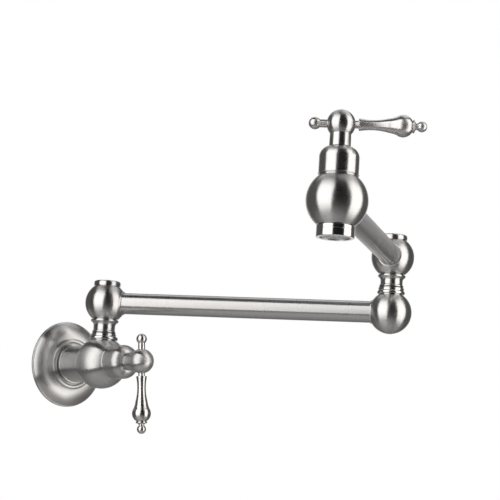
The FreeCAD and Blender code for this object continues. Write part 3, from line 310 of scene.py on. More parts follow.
class Board(Wiring):
    """A material's node tree, and what the finishes read in it."""

    def __init__(self, name: str) -> None:
        """Starts a material that holds one Principled shader.

        Args:
            name: the material's name.
        """
        self.material = bpy.data.materials.new(name)
        self.material.use_nodes = True
        super().__init__(self.material.node_tree)
        self.shader = self.tree.nodes["Principled BSDF"]

    def own_place(self, station: Station) -> bpy.types.NodeSocket:
        """Gives the place on a piece, in metres, in the upright frame of its own axis."""
        coordinates = self.add("TexCoord").outputs["Object"]
        return self.add("Mapping", {"Vector": coordinates, "Location": Vector(station.origin) * MM,
                                    "Rotation": station.turn()}, vector_type="TEXTURE").outputs[0]

    def noise(self, place: bpy.types.NodeSocket, scale: float, detail: float = 2.0,
              roughness: float = 0.5) -> bpy.types.NodeSocket:
        """Gives a plain noise.

        Args:
            place: where it is read.
            scale: how many of its bumps fit a metre.
            detail: how many finer layers it has.
            roughness: how strong those are.

        Returns:
            The noise, from 0 to 1.
        """
        return self.add("TexNoise", {"Vector": place, "Scale": scale, "Detail": detail,
                                     "Roughness": roughness}).outputs[0]

    def tint(self, value: bpy.types.NodeSocket, dark: tuple, light: tuple) -> bpy.types.NodeSocket:
        """Gives a colour between two by a value from 0 to 1."""
        return self.add("Mix", {0: value, 6: (*dark, 1.0), 7: (*light, 1.0)}, data_type="RGBA").outputs[2]


@dataclass(frozen=True)
class Metal:
    """A worked metal: its colour, how dull it is, and the fine lines that its finishing left.

    Scales are in bumps to a metre, and shares are from 0 to 1.
    """

    name: str
    colour: tuple[float, float, float]
    roughness: float
    grain: Grain = Grain.ROUND
    stretch: float = 0.0
    lines_per_mm: float = 4.0
    groove_depth: float = 0.0
    cloud: float = 0.04
    cloud_scale: float = 60.0
    line_share: float = 0.65
    uneven: float = 0.14
    speck_scale: float = 900.0
    line_sway: float = 120.0
    line_drift: float = 90.0

    def material(self, station: Station) -> bpy.types.Material:
        """Builds the finish for pieces turned about one axis.

        Args:
            station: where that axis stands.

        Returns:
            The material.
        """
        board = Board(self.name)
        shader = board.shader.inputs
        shader["Metallic"].default_value = 1.0
        place = board.own_place(station)
        lines = self.lines(board, place)
        cloud = board.noise(place, self.cloud_scale, 3.0)
        streaks = board.maths("ADD", board.maths("MULTIPLY", lines, self.line_share),
                              board.maths("MULTIPLY", cloud, 1 - self.line_share))
        dark = tuple(channel * (1 - self.cloud) for channel in self.colour)
        light = tuple(min(1.0, channel * (1 + self.cloud)) for channel in self.colour)
        board.put(board.tint(board.between(streaks, 0.0, 1.0), dark, light), shader["Base Color"])
        board.put(board.between(streaks, self.roughness * (1 - self.uneven), self.roughness * (1 + self.uneven)),
                  shader["Roughness"])
        if self.groove_depth:
            bump = board.add("Bump", {"Height": lines, "Strength": 1.0, "Distance": self.groove_depth * MM})
            board.put(bump.outputs[0], shader["Normal"])
        if self.stretch:
            shader["Anisotropic"].default_value = self.stretch
            shader["Anisotropic Rotation"].default_value = 0.25
            board.put(self.groove_way(board, place, station), shader["Tangent"])
        return board.material

    def lines(self, board: Board, place: bpy.types.NodeSocket) -> bpy.types.NodeSocket:
        """Gives the fine lines: a noise that changes fast along the axis and slowly round it."""
        if self.grain is Grain.NONE:
            return board.noise(place, self.speck_scale, 2.0)
        parts = board.add("SeparateXYZ", {0: place}).outputs
        radius = board.maths("SQRT", board.maths("ADD", board.maths("MULTIPLY", parts[0], parts[0]),
                                                 board.maths("MULTIPLY", parts[1], parts[1])))
        fine = 1000.0 * self.lines_per_mm
        across = board.maths("MULTIPLY_ADD", radius, fine, board.maths("MULTIPLY", parts[0], self.line_sway))
        along = board.maths("MULTIPLY_ADD", parts[2], fine, board.maths("MULTIPLY", parts[1], self.line_sway))
        spot = board.add("CombineXYZ", {0: across, 1: along, 2: board.maths("MULTIPLY", parts[1], self.line_drift)})
        return board.noise(spot.outputs[0], 1.0, 1.5)

    def groove_way(self, board: Board, place: bpy.types.NodeSocket, station: Station) -> bpy.types.NodeSocket:
        """Gives the way of the grooves round the axis, in world space."""
        around = board.add("VectorMath", {0: (0.0, 0.0, 1.0), 1: place}, operation="CROSS_PRODUCT").outputs[0]
        own = board.add("Mapping", {"Vector": around, "Rotation": station.turn()}, vector_type="POINT").outputs[0]
        return board.add("VectorTransform", {0: own}, vector_type="VECTOR", convert_from="OBJECT",
                         convert_to="WORLD").outputs[0]


@dataclass(frozen=True)
class Moulding:
    """A plastic, rubber or ceramic: its colour, gloss and how uneven its skin is."""

    name: str
    colour: tuple[float, float, float]
    roughness: float
    skin_depth: float = 0.01
    skin_scale: float = 2500.0
    mottle: float = 0.08
    uneven: float = 0.1

    def material(self, station: Station) -> bpy.types.Material:
        """Builds the finish.

        Args:
            station: where the piece's axis stands, which centres the pattern.

        Returns:
            The material.
        """
        board = Board(self.name)
        shader = board.shader.inputs
        skin = board.noise(board.own_place(station), self.skin_scale, 2.0)
        dark = tuple(channel * (1 - self.mottle) for channel in self.colour)
        board.put(board.tint(board.between(skin, 0.0, 1.0), dark, self.colour), shader["Base Color"])
        board.put(board.between(skin, self.roughness * (1 - self.uneven), self.roughness * (1 + self.uneven)),
                  shader["Roughness"])
        bump = board.add("Bump", {"Height": skin, "Strength": 1.0, "Distance": self.skin_depth * MM})
        board.put(bump.outputs[0], shader["Normal"])
        return board.material


SATIN_NICKEL = Metal("satin_nickel", (0.615, 0.605, 0.595), 0.30, stretch=0.9, groove_depth=0.0008)
FINE_NICKEL = Metal("fine_nickel", (0.655, 0.645, 0.635), 0.16, stretch=0.5, cloud=0.02)
LEVER_NICKEL = Metal("lever_nickel", (0.655, 0.645, 0.635), 0.26, stretch=0.9, cloud=0.02)
MACHINED_BRASS = Metal("machined_brass", (0.78, 0.60, 0.32), 0.28, stretch=0.5, groove_depth=0.004)
PLAIN_STEEL = Metal("plain_steel", (0.72, 0.72, 0.72), 0.42, grain=Grain.NONE)
SCREEN_STEEL = Metal("screen_steel", (0.84, 0.84, 0.84), 0.55, grain=Grain.NONE)
BLACK_RUBBER = Moulding("black_rubber", (0.025, 0.025, 0.027), 0.55)
LAPPED_CERAMIC = Moulding("lapped_ceramic", (0.84, 0.83, 0.80), 0.16, skin_depth=0.001)
BLACK_ACETAL = Moulding("black_acetal", (0.05, 0.05, 0.052), 0.38)
GREY_PLASTIC = Moulding("grey_plastic", (0.80, 0.80, 0.80), 0.40)

# The groove where a turned piece meets the next, which shows as a fine dark line, in millimetres.
SEAM = 0.6
SEAM_DEPTH = 1.0
# How far a quarter round stands proud of its chord, as a share of its radius.
QUARTER_BOW = 0.29


class Workshop:
    """Makes finished pieces of shells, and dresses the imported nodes, with one material per finish and axis."""

    def __init__(self) -> None:
        """Starts with no material made."""
        self.made: dict[tuple, bpy.types.Material] = {}

    def finish(self, finish: Metal | Moulding, station: Station) -> bpy.types.Material:
        """Gives a finish about an axis, made once."""
        key = (finish, station)
        if key not in self.made:
            self.made[key] = finish.material(station)
        return self.made[key]

    def piece(self, node: str, shell: bmesh.types.BMesh, station: Station, finish: Metal) -> bpy.types.Object:
        """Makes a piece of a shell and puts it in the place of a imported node.

        Args:
            node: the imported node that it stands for.
            shell: its closed shell, about the upright axis.
            station: where its own axis stands.
            finish: what it is made of.

        Returns:
            The piece.
        """
        bmesh.ops.transform(shell, matrix=station.matrix(), verts=shell.verts[:])
        for face in shell.faces:
            face.smooth = True
        mesh = bpy.data.meshes.new(node + "_turned")
        shell.to_mesh(mesh)
        shell.free()
        piece = bpy.data.objects.new(node + "_turned", mesh)
        bpy.context.scene.collection.objects.link(piece)
        piece.data.materials.append(self.finish(finish, station))
        weighted = piece.modifiers.new("even_shading", "WEIGHTED_NORMAL")
        weighted.keep_sharp = True
        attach(piece, self.body(node))
        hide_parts(node)
        LOG.info("%s: %d faces", piece.name, len(mesh.polygons))
        return piece

    def dress(self, station: Station, finish: Metal | Moulding, *nodes: str) -> None:
        """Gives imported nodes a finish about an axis, in all their material slots."""
        material = self.finish(finish, station)
        for name in nodes:
            node = frame["nodes"][name]
            for place in node.material_slots:
                place.material = material
            LOG.info("%s: dressed in %s", name, finish.name)

    @staticmethod
    def body(node: str) -> str:
        """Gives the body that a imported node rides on."""
        bodies = frame["record"]["behaviour"]["bodies"]
        return next(name for name, members in bodies.items() if node in members)


@dataclass
class WallFlange:
    """The crowned rose on the wall and the threaded shank through it."""

    radius: float = 32.7
    rim_height: float = 1.8
    rim_round: float = 0.8
    crown: float = 1.7
    foot_radius: float = 20.2
    foot_height: float = 6.8
    ring_radius: float = 19.2
    ring_inner_radius: float = 15.9
    ring_height: float = 9.4
    ring_crown: float = 0.75
    seat: float = 8.8
    underside: float = 5.3
    bore: float = 13.05
    gasket_outer: float = 30.6
    gasket_inner: float = 27.6
    gasket_thickness: float = 1.4
    collar_radius: float = 15.2
    collar_height: float = 3.2
    collar_round: float = 0.6
    clearance: float = 0.05
    neck_radius: float = 14.0
    neck_end: float = 31.426
    thread_end: float = 37.426
    thread_radius: float = 10.5
    water_radius: float = 6.0
    inlet_radius: float = 9.3
    inlet_depth: float = 16.0
    edge: float = 0.12

    def rose(self) -> Outline:
        """Gives the flange's outline, hollow behind."""
        return [
            (self.gasket_outer, 0.0), (self.radius, 0.0), (self.radius, self.rim_height - self.rim_round),
            Bow(self.rim_round * QUARTER_BOW, 6), (self.radius - self.rim_round, self.rim_height),
            Bow(self.crown, 24), (self.foot_radius, self.foot_height), (self.ring_radius, self.foot_height),
            (self.ring_radius, self.ring_height), Bow(self.ring_crown, 16),
            (self.ring_inner_radius, self.ring_height), (self.ring_inner_radius, self.seat),
            (self.bore, self.seat), (self.bore, self.underside), (self.foot_radius, self.underside),
            Bow(-self.crown, 24), (self.gasket_inner, self.gasket_thickness),
            (self.gasket_outer, self.gasket_thickness),
        ]

    def shank(self) -> Outline:
        """Gives the shank's outline, with its collar and both threads' bores."""
        collar_top = self.seat + self.collar_height
        foot_radius = self.bore - self.clearance
        return [
            (self.inlet_radius, 0.0), (foot_radius, 0.0), (foot_radius, self.seat), (self.collar_radius, self.seat),
            (self.collar_radius, collar_top - self.collar_round), Bow(self.collar_round * QUARTER_BOW, 6),
            (self.collar_radius - self.collar_round, collar_top), (self.neck_radius, collar_top),
            (self.neck_radius, self.neck_end - SEAM), (self.neck_radius - SEAM_DEPTH, self.neck_end - SEAM),
            (self.neck_radius - SEAM_DEPTH, self.neck_end), (self.thread_radius, self.neck_end),
            (self.thread_radius, self.thread_end), (self.water_radius, self.thread_end),
            (self.water_radius, self.inlet_depth), (self.inlet_radius, self.inlet_depth),
        ]

    def build(self, shop: Workshop, station: Station) -> None:
        """Makes the flange and the shank, and dresses the gasket and the seal.

        Args:
            shop: where pieces are made.
            station: the inlet's axis.
        """
        shop.piece("wall_flange", Lathe(steps=160).turn(self.rose(), self.edge), station, SATIN_NICKEL)
        shop.piece("inlet_shank", Lathe().turn(self.shank()), station, SATIN_NICKEL)
        shop.dress(station, BLACK_RUBBER, "wall_gasket", "inlet_seal")


@dataclass
class ValveHead:
    """The bonnet over a cartridge, on the boss of a valve ball. Heights are from the ball's centre."""

    side: str
    foot: float = 15.592
    lip_radius: float = 12.9
    lip_height: float = 0.9
    radius: float = 12.6
    shoulder: float = 27.492
    top: float = 33.892
    top_radius: float = 6.9
    dome_rise: float = 1.45
    skirt_radius: float = 11.6
    skirt_top: float = 21.192
    thread_radius: float = 8.05
    thread_top: float = 27.992
    spindle_bore: float = 4.4
    edge: float = 0.2

    def bonnet(self) -> Outline:
        """Gives the bonnet's outline, domed on top and stepped inside."""
        lip_top = self.foot + self.lip_height
        return [
            (self.skirt_radius, self.foot), (self.lip_radius - SEAM_DEPTH, self.foot),
            (self.lip_radius - SEAM_DEPTH, self.foot + SEAM), (self.lip_radius, self.foot + SEAM),
            (self.lip_radius, lip_top),
            (self.radius, lip_top + self.lip_radius - self.radius), (self.radius, self.shoulder),
            Bow(self.dome_rise, 20), (self.top_radius, self.top), (self.spindle_bore, self.top),
            (self.spindle_bore, self.thread_top), (self.thread_radius, self.thread_top),
            (self.thread_radius, self.skirt_top), (self.skirt_radius, self.skirt_top),
        ]

    def build(self, shop: Workshop, station: Station) -> None:
        """Makes the bonnet and dresses what it covers.

        Args:
            shop: where pieces are made.
            station: the valve's axis.
        """
        shop.piece(f"{self.side}_bonnet", Lathe().turn(self.bonnet(), self.edge), station, SATIN_NICKEL)
        shop.dress(station, MACHINED_BRASS, f"{self.side}_cartridge_body", f"{self.side}_spindle")
        shop.dress(station, LAPPED_CERAMIC, f"{self.side}_fixed_disc", f"{self.side}_moving_disc")
        shop.dress(station, BLACK_RUBBER, f"{self.side}_seat_seal", f"{self.side}_spindle_o_ring")


@dataclass
class LeverHandle:
    """A hub with a turned lever and a ball ended stub. Lengths along an arm are from the hub's centre."""

    side: str
    ball_radius: float = 9.1
    stud_radius: float = 2.0
    stud_start: float = 4.4
    lever_neck: float = 2.45
    collar_start: float = 11.1
    collar_radius: float = 3.9
    collar_width: float = 1.0
    waist_depth: float = 1.0
    swell_start: float = 29.5
    swell_start_radius: float = 4.5
    shoulder: float = 34.5
    shoulder_radius: float = 5.85
    shoulder_hollow: float = 0.18
    swell_end: float = 44.1
    swell_end_radius: float = 3.6
    swell_rise: float = 2.2
    bead_width: float = 1.4
    bead_rise: float = 0.69
    bead_taper: float = 0.6
    tip_neck: float = 2.15
    tip_radius: float = 3.4
    tip_centre: float = 49.8
    stub_neck: float = 2.6
    stub_radius: float = 3.95
    stub_top: float = 20.2
    edge: float = 0.12

    def lever(self) -> Outline:
        """Gives the lever's outline: collar, long waist, swell, bead and tip."""
        start = height_on_ball(self.ball_radius, self.lever_neck)
        collar_end = self.collar_start + self.collar_width
        bead_end = self.swell_end + self.bead_width
        tip_start = self.tip_centre - height_on_ball(self.tip_radius, self.tip_neck)
        return [
            (0.0, self.stud_start), (self.stud_radius, self.stud_start), (self.stud_radius, start),
            (self.lever_neck, start), (self.lever_neck, self.collar_start),
            (self.collar_radius, self.collar_start), (self.collar_radius, collar_end),
            Bow(-self.waist_depth, 24), (self.swell_start_radius, self.swell_start),
            Bow(-self.shoulder_hollow, 8), (self.shoulder_radius, self.shoulder),
            Bow(self.swell_rise, 24), (self.swell_end_radius, self.swell_end),
            Bow(self.bead_rise, 12), (self.swell_end_radius, bead_end),
            (self.tip_neck, bead_end + self.bead_taper), (self.tip_neck, tip_start),
            Bow(pole_rise(self.tip_radius, self.tip_neck), 24), (0.0, self.tip_centre + self.tip_radius),
        ]

    def stub(self) -> Outline:
        """Gives the outline of the stub across from the lever."""
        start = height_on_ball(self.ball_radius, self.stub_neck)
        centre = self.stub_top - self.stub_radius
        ball_start = centre - height_on_ball(self.stub_radius, self.stub_neck)
        return [
            (0.0, self.stud_start), (self.stud_radius, self.stud_start), (self.stud_radius, start),
            (self.stub_neck, start), (self.stub_neck, ball_start),
            Bow(pole_rise(self.stub_radius, self.stub_neck), 24), (0.0, self.stub_top),
        ]

    def build(self, shop: Workshop, hub: Station, lever: Station, stub: Station) -> None:
        """Makes the lever and the stub, and dresses the hub and its screw.

        Args:
            shop: where pieces are made.
            hub: the valve's axis, from its ball's centre.
            lever: the lever's axis, from the hub's centre.
            stub: the stub's axis, from the hub's centre.
        """
        shop.dress(hub, SATIN_NICKEL, f"{self.side}_handle_hub")
        for node, outline, station in (("lever", self.lever(), lever), ("finial", self.stub(), stub)):
            shell = Lathe(steps=96).turn(outline, self.edge, closed=False)
            shop.piece(f"{self.side}_handle_{node}", shell, station, LEVER_NICKEL)
        shop.dress(hub, PLAIN_STEEL, f"{self.side}_handle_screw")


@dataclass
class Swivel:
    """A collar, a post and the waisted sleeve that turns on it. Heights are from the ball below."""

    side: str
    base_radius: float
    rise: float
    collar_radius: float
    bead_radius: float
    ball_radius: float = 15.8
    crown: float = 0.7
    collar_height: float = 4.2
    ledge_radius: float = 9.4
    ledge_height: float = 0.9
    flange_height: float = 1.1
    washer_thickness: float = 0.8
    post_foot_radius: float = 7.55
    sleeve_bore: float = 6.05
    foot_radius: float = 8.9
    foot_height: float = 1.0
    foot_taper: float = 0.6
    waist_radius: float = 8.2
    flare_height: float = 3.0
    flare_hollow: float = 0.5
    bead_height: float = 2.6
    thread_radius: float = 8.0
    floor_drop: float = 7.0
    gap: float = 0.1
    collar_edge: float = 0.1

    def seat(self) -> float:
        """Gives the height at which the collar stands on the ball below."""
        return height_on_ball(self.base_radius, self.collar_radius - self.crown)

    def collar(self) -> Outline:
        """Gives the outline of the beaded ring on the ball below."""
        seat = self.seat()
        top = seat + self.collar_height
        bead_top = top - self.ledge_height
        edge = self.collar_radius - self.crown
        return [
            (self.post_foot_radius, seat), (edge - SEAM_DEPTH, seat), (edge - SEAM_DEPTH, seat + SEAM),
            (edge, seat + SEAM), Bow(self.crown, 16), (edge, bead_top),
            (self.ledge_radius, bead_top), (self.ledge_radius, top), (self.post_foot_radius, top),
        ]

    def sleeve(self) -> Outline:
        """Gives the outline of the waisted sleeve up to the floor of the ball above."""
        bottom = self.seat() + self.collar_height + self.flange_height + self.washer_thickness + self.gap
        ball_seat = self.rise - height_on_ball(self.ball_radius, self.bead_radius - self.crown)
        bead_foot = ball_seat - self.bead_height
        edge = self.bead_radius - self.crown
        foot_top = bottom + self.foot_height
        return [
            (self.sleeve_bore, bottom), (self.foot_radius, bottom), (self.foot_radius, foot_top),
            (self.waist_radius, foot_top + self.foot_taper), (self.waist_radius, bead_foot - self.flare_height),
            Bow(-self.flare_hollow, 12), (edge, bead_foot), Bow(self.crown, 16), (edge, ball_seat - SEAM),
            (edge - SEAM_DEPTH, ball_seat - SEAM), (edge - SEAM_DEPTH, ball_seat), (self.thread_radius, ball_seat),
            (self.thread_radius, self.rise - self.floor_drop), (self.sleeve_bore, self.rise - self.floor_drop),
        ]

    def build(self, shop: Workshop, station: Station) -> None:
        """Makes the collar and the sleeve, and dresses what turns inside.

        Args:
            shop: where pieces are made.
            station: the swivel's axis, from the centre of the ball below.
        """
        shop.piece(f"{self.side}_swivel_collar", Lathe().turn(self.collar(), self.collar_edge), station, FINE_NICKEL)
        shop.piece(f"{self.side}_swivel_sleeve", Lathe().turn(self.sleeve()), station, SATIN_NICKEL)
        shop.dress(station, SATIN_NICKEL, f"{self.side}_swivel_post")
        shop.dress(station, BLACK_RUBBER, f"{self.side}_swivel_o_rings")
        shop.dress(station, BLACK_ACETAL, f"{self.side}_thrust_washer", f"{self.side}_retaining_washer")
        shop.dress(station, PLAIN_STEEL, f"{self.side}_retaining_ring")


@dataclass
class PivotCap:
    """The round edged screw cap on a pivot ball. Heights are from the ball's centre."""

    side: str
    ball_radius: float = 15.8
    radius: float = 10.1
    height: float = 4.4
    edge: float = 1.5
    thread_radius: float = 9.0
    thread_length: float = 4.0
    hollow_radius: float = 6.8
    hollow_depth: float = 3.0

    def cap(self) -> Outline:
        """Gives the cap's outline, hollow below."""
        seat = height_on_ball(self.ball_radius, self.radius)
        foot = seat - self.thread_length
        top = seat + self.height
        return [
            (0.0, foot + self.hollow_depth), (self.hollow_radius, foot + self.hollow_depth),
            (self.hollow_radius, foot), (self.thread_radius, foot), (self.thread_radius, seat),
            (self.radius - SEAM_DEPTH, seat), (self.radius - SEAM_DEPTH, seat + SEAM), (self.radius, seat + SEAM),
            (self.radius, top - self.edge), Bow(self.edge * QUARTER_BOW, 12),
            (self.radius - self.edge, top), (0.0, top),
        ]

    def build(self, shop: Workshop, station: Station) -> None:
        """Makes the cap and dresses its seal.

        Args:
            shop: where pieces are made.
            station: the ball's upright axis.
        """
        shop.piece(f"{self.side}_pivot_cap", Lathe().turn(self.cap(), closed=False), station, SATIN_NICKEL)
        shop.dress(station, BLACK_RUBBER, f"{self.side}_cap_seal")


@dataclass
class Spout:
    """The outlet below the spout ball and the aerator in it. Heights are from the ball's centre."""

    ball_radius: float = 19.5
    radius: float = 12.0
    ring_height: float = 3.1
    edge: float = 0.2
    thread_radius: float = 9.2
    thread_length: float = 5.0
    nose_radius: float = 10.4
    nose_drop: float = 1.8
    bore: float = 6.8
    housing_height: float = 4.7
    lip_radius: float = 9.6
    lip_height: float = 0.9
    housing_round: float = 0.4
    clearance: float = 0.05

    def outlet(self) -> Outline:
        """Gives the outline of the nozzle that screws up into the ball."""
        seat = -height_on_ball(self.ball_radius, self.radius)
        foot = seat - self.ring_height
        nose = foot - self.nose_drop
        return [
            (self.bore, nose), (self.nose_radius, nose), (self.nose_radius, foot), (self.radius, foot),
            (self.radius, seat - SEAM), (self.radius - SEAM_DEPTH, seat - SEAM), (self.radius - SEAM_DEPTH, seat),
            (self.thread_radius, seat), (self.thread_radius, seat + self.thread_length),
            (self.bore, seat + self.thread_length),
        ]

    def housing(self) -> Outline:
        """Gives the outline of the ring that holds the aerator."""
        top = -height_on_ball(self.ball_radius, self.radius) - self.ring_height
        foot = top - self.housing_height
        thread = self.nose_radius + self.clearance
        return [
            (self.lip_radius, foot), (self.radius - self.housing_round, foot),
            Bow(self.housing_round * QUARTER_BOW, 6), (self.radius, foot + self.housing_round),
            (self.radius, top), (thread, top),
            (thread, foot + self.lip_height), (self.lip_radius, foot + self.lip_height),
        ]

    def build(self, shop: Workshop, station: Station) -> None:
        """Makes the nozzle and the ring, and dresses the aerator's pieces.

        Args:
            shop: where pieces are made.
            station: the spout's upright axis.
        """
        shop.piece("spout_outlet", Lathe().turn(self.outlet(), self.edge), station, FINE_NICKEL)
        shop.piece("aerator_housing", Lathe().turn(self.housing(), self.edge), station, FINE_NICKEL)
        shop.dress(station, BLACK_RUBBER, "outlet_seal", "aerator_washer")
        shop.dress(station, GREY_PLASTIC, "aerator_insert")
        shop.dress(station, SCREEN_STEEL, "aerator_screen")


@dataclass
class PotFiller:
    """The whole tap, built from the wall to the spout."""

    layout: Layout = field(default_factory=Layout)
    shop: Workshop = field(default_factory=Workshop)

    def build(self) -> None:
        """Builds each sub-assembly in order."""
        self.build_wall_valve()
        self.build_arms()
        self.build_spout()

    def build_wall_valve(self) -> None:
        """Builds the flange, the wall valve and its handle."""
        plan = self.layout
        lean = plan.wall_lean
        valve = plan.valve()
        hub_centre = Station((0.0, -plan.valve_standout - plan.handle_height, 0.0))
        WallFlange().build(self.shop, plan.wall())
        self.shop.dress(valve, SATIN_NICKEL, "valve_body")
        ValveHead("wall").build(self.shop, valve)
        LeverHandle("wall").build(self.shop, valve, hub_centre.turned(0.0, 180.0 - lean),
                                  hub_centre.turned(180.0, lean))

    def build_arms(self) -> None:
        """Builds both swivels, their balls and caps, and both arm tubes."""
        plan = self.layout
        inner, elbow, outer = plan.inner_pivot(), plan.elbow(), plan.outer_pivot()
        lower = Swivel("lower", plan.valve_ball, plan.lower_rise, collar_radius=11.0, bead_radius=10.6)
        upper = Swivel("elbow", plan.joint_ball, plan.elbow_rise, collar_radius=10.2, bead_radius=10.2)
        lower.build(self.shop, plan.swivel())
        upper.build(self.shop, elbow)
        PivotCap("inner").build(self.shop, inner)
        PivotCap("outer").build(self.shop, outer)
        for node, ball in (("inner_pivot_ball", inner), ("elbow_ball", elbow), ("outer_pivot_ball", outer)):
            self.shop.dress(ball, SATIN_NICKEL, node)
        for node, ball, azimuth in (("inner_arm_tube", inner, plan.inner_azimuth),
                                    ("outer_arm_tube", outer, plan.outer_azimuth)):
            self.shop.dress(ball.turned(azimuth, 90.0), SATIN_NICKEL, node)

    def build_spout(self) -> None:
        """Builds the spout ball's dress, its outlet, valve and handle."""
        plan = self.layout
        spout = plan.spout()
        hub_centre = spout.raised(plan.handle_height)
        azimuth = plan.spout_handle_azimuth
        self.shop.dress(spout, SATIN_NICKEL, "spout_body")
        Spout().build(self.shop, spout)
        ValveHead("spout").build(self.shop, spout)
        LeverHandle("spout").build(self.shop, spout, hub_centre.turned(azimuth, 90.0),
                                   hub_centre.turned(azimuth + 180.0, 90.0))


@dataclass(frozen=True)
class Softbox:
    """A soft lamp as the tap's middle sees it: its way and its spread in degrees, and its plain brightness.

    The way is counted from the camera, to the right and upwards.
    """

    name: str
    aside: float
    above: float
    wide: float
    tall: float
    distance: float
    brightness: float
    tint: tuple[float, float, float]


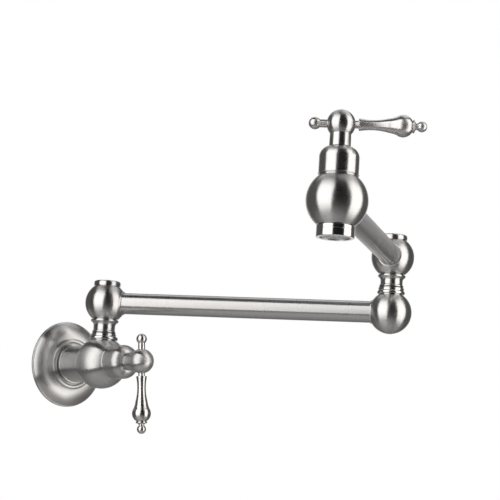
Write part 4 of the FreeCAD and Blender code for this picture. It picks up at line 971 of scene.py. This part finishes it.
@dataclass
class Studio:
    """The camera, the soft lamps, the pale floor and the room. Lengths are in metres.

    The room holds steps of how far ahead a ray goes, from 0 behind the camera to 1 behind the tap, and how
    bright the room is there. The ceiling holds the heights of a ray between which the room dims, and to what.
    """

    eye: tuple[float, float, float] = (-0.78413, -1.09458, -0.11125)
    heading: float = 0.72305
    pitch: float = 0.15518
    roll: float = 0.06138
    focal_px: float = 1731.19
    frame_px: float = 500.0
    sensor_mm: float = 36.0
    nearest: float = 0.05
    middle: tuple[float, float, float] = (0.04, -0.18, 0.05)
    floor_height: float = -1.4
    floor_size: float = 5.0
    floor_colour: tuple[float, float, float] = (0.7, 0.7, 0.7)
    floor_roughness: float = 0.7
    floor_glow: float = 0.45
    floor_shine: float = 0.07
    lamps: tuple[Softbox, ...] = (
        Softbox("left_softbox", -45.5, 13.0, 57.0, 88.0, 1.3, 1.85, (1.0, 0.99, 0.98)),
        Softbox("right_softbox", 65.0, 8.0, 46.0, 92.0, 0.75, 1.8, (1.0, 0.98, 0.955)),
        Softbox("top_softbox", 80.0, 74.0, 40.0, 24.0, 0.7, 0.7, (1.0, 0.99, 0.98)),
        Softbox("back_softbox", 180.0, 60.0, 60.0, 22.0, 2.0, 0.9, (0.95, 0.98, 1.0)),
    )
    room: tuple[tuple[float, float], ...] = ((0.0, 0.012), (0.34, 0.014), (0.55, 0.10), (0.93, 0.12), (0.98, 1.0))
    ceiling: tuple[float, float, float] = (0.5, 0.9, 0.25)

    def forward(self) -> Vector:
        """Gives the way that the camera looks."""
        flat = math.cos(self.pitch)
        return Vector((math.sin(self.heading) * flat, math.cos(self.heading) * flat, math.sin(self.pitch)))

    def build(self) -> None:
        """Sets up the camera, the lamps, the floor and the room."""
        self.build_camera()
        for softbox in self.lamps:
            self.build_lamp(softbox)
        self.build_floor()
        self.build_room()
        bpy.context.scene.view_settings.view_transform = "Standard"

    def build_camera(self) -> None:
        """Stands the camera where the fitted view has it, with its slight roll."""
        ahead = self.forward()
        level = ahead.cross(Vector((0.0, 0.0, 1.0))).normalized()
        upright = level.cross(ahead)
        right = level * math.cos(self.roll) + upright * math.sin(self.roll)
        up = upright * math.cos(self.roll) - level * math.sin(self.roll)
        lens = bpy.data.cameras.new("camera")
        lens.sensor_width = self.sensor_mm
        lens.lens = self.focal_px / self.frame_px * self.sensor_mm
        lens.clip_start = self.nearest
        camera = bpy.data.objects.new("camera", lens)
        turn = Matrix((right, up, -ahead)).transposed()
        camera.matrix_world = Matrix.Translation(Vector(self.eye)) @ turn.to_4x4()
        bpy.context.scene.collection.objects.link(camera)
        bpy.context.scene.camera = camera

    def build_lamp(self, softbox: Softbox) -> None:
        """Hangs one soft lamp and turns it to the middle of the tap.

        Args:
            softbox: where it hangs, and how large and bright it is.
        """
        azimuth = math.atan2(-self.forward().y, -self.forward().x) + math.radians(softbox.aside)
        above = math.radians(softbox.above)
        way = Vector((math.cos(azimuth) * math.cos(above), math.sin(azimuth) * math.cos(above), math.sin(above)))
        light = bpy.data.lights.new(softbox.name, "AREA")
        light.shape = "RECTANGLE"
        light.size = 2 * softbox.distance * math.tan(math.radians(softbox.wide / 2))
        light.size_y = 2 * softbox.distance * math.tan(math.radians(softbox.tall / 2))
        light.energy = softbox.brightness * math.pi * light.size * light.size_y
        light.color = softbox.tint
        lamp = bpy.data.objects.new(softbox.name, light)
        lamp.location = Vector(self.middle) + way * softbox.distance
        lamp.rotation_euler = way.to_track_quat("Z", "Y").to_euler()
        lamp.visible_camera = False
        bpy.context.scene.collection.objects.link(lamp)

    def build_floor(self) -> None:
        """Lays the plain pale floor."""
        mesh = bmesh.new()
        bmesh.ops.create_grid(mesh, x_segments=1, y_segments=1, size=self.floor_size / 2,
                              matrix=Matrix.Translation((0.0, 0.0, self.floor_height)))
        data = bpy.data.meshes.new("floor")
        mesh.to_mesh(data)
        mesh.free()
        floor = bpy.data.objects.new("floor", data)
        bpy.context.scene.collection.objects.link(floor)
        board = Board("pale_floor")
        shader = board.shader.inputs
        shader["Base Color"].default_value = (*self.floor_colour, 1.0)
        shader["Roughness"].default_value = self.floor_roughness
        shader["Emission Color"].default_value = WHITE
        rays = board.add("LightPath").outputs
        shine = board.maths("MULTIPLY", rays["Is Glossy Ray"], self.floor_shine)
        glow = board.maths("MULTIPLY_ADD", rays["Is Camera Ray"], self.floor_glow, shine)
        board.put(glow, shader["Emission Strength"])
        data.materials.append(board.material)

    def build_room(self) -> None:
        """Makes the room: white to the camera, and else dim before the tap and white behind it."""
        world = bpy.data.worlds.new("studio")
        bpy.context.scene.world = world
        world.use_nodes = True
        wiring = Wiring(world.node_tree)
        way = wiring.add("TexCoord").outputs["Generated"]
        ahead = wiring.add("VectorMath", {0: way, 1: self.forward()}, operation="DOT_PRODUCT").outputs["Value"]
        ramp = wiring.add("ValToRGB", {0: wiring.between(ahead, 0.0, 1.0, -1.0, 1.0)})
        stops = ramp.color_ramp.elements
        for at, strength in self.room[1:-1]:
            stops.new(at).color = (strength, strength, strength, 1.0)
        for stop, (at, strength) in ((stops[0], self.room[0]), (stops[-1], self.room[-1])):
            stop.position = at
            stop.color = (strength, strength, strength, 1.0)
        low, high, dimmest = self.ceiling
        height = wiring.add("SeparateXYZ", {0: way}).outputs["Z"]
        dimmed = wiring.maths("MULTIPLY", ramp.outputs[0], wiring.between(height, 1.0, dimmest, low, high))
        seen = wiring.add("LightPath").outputs["Is Camera Ray"]
        shade = wiring.tree.nodes["Background"].inputs
        shade["Color"].default_value = WHITE
        wiring.put(wiring.maths("MAXIMUM", dimmed, seen), shade["Strength"])


def main() -> None:
    """Builds the tap and its studio."""
    logging.basicConfig(level=logging.INFO, format="%(name)s: %(message)s")
    PotFiller().build()
    Studio().build()


if __name__ == "__main__":
    main()
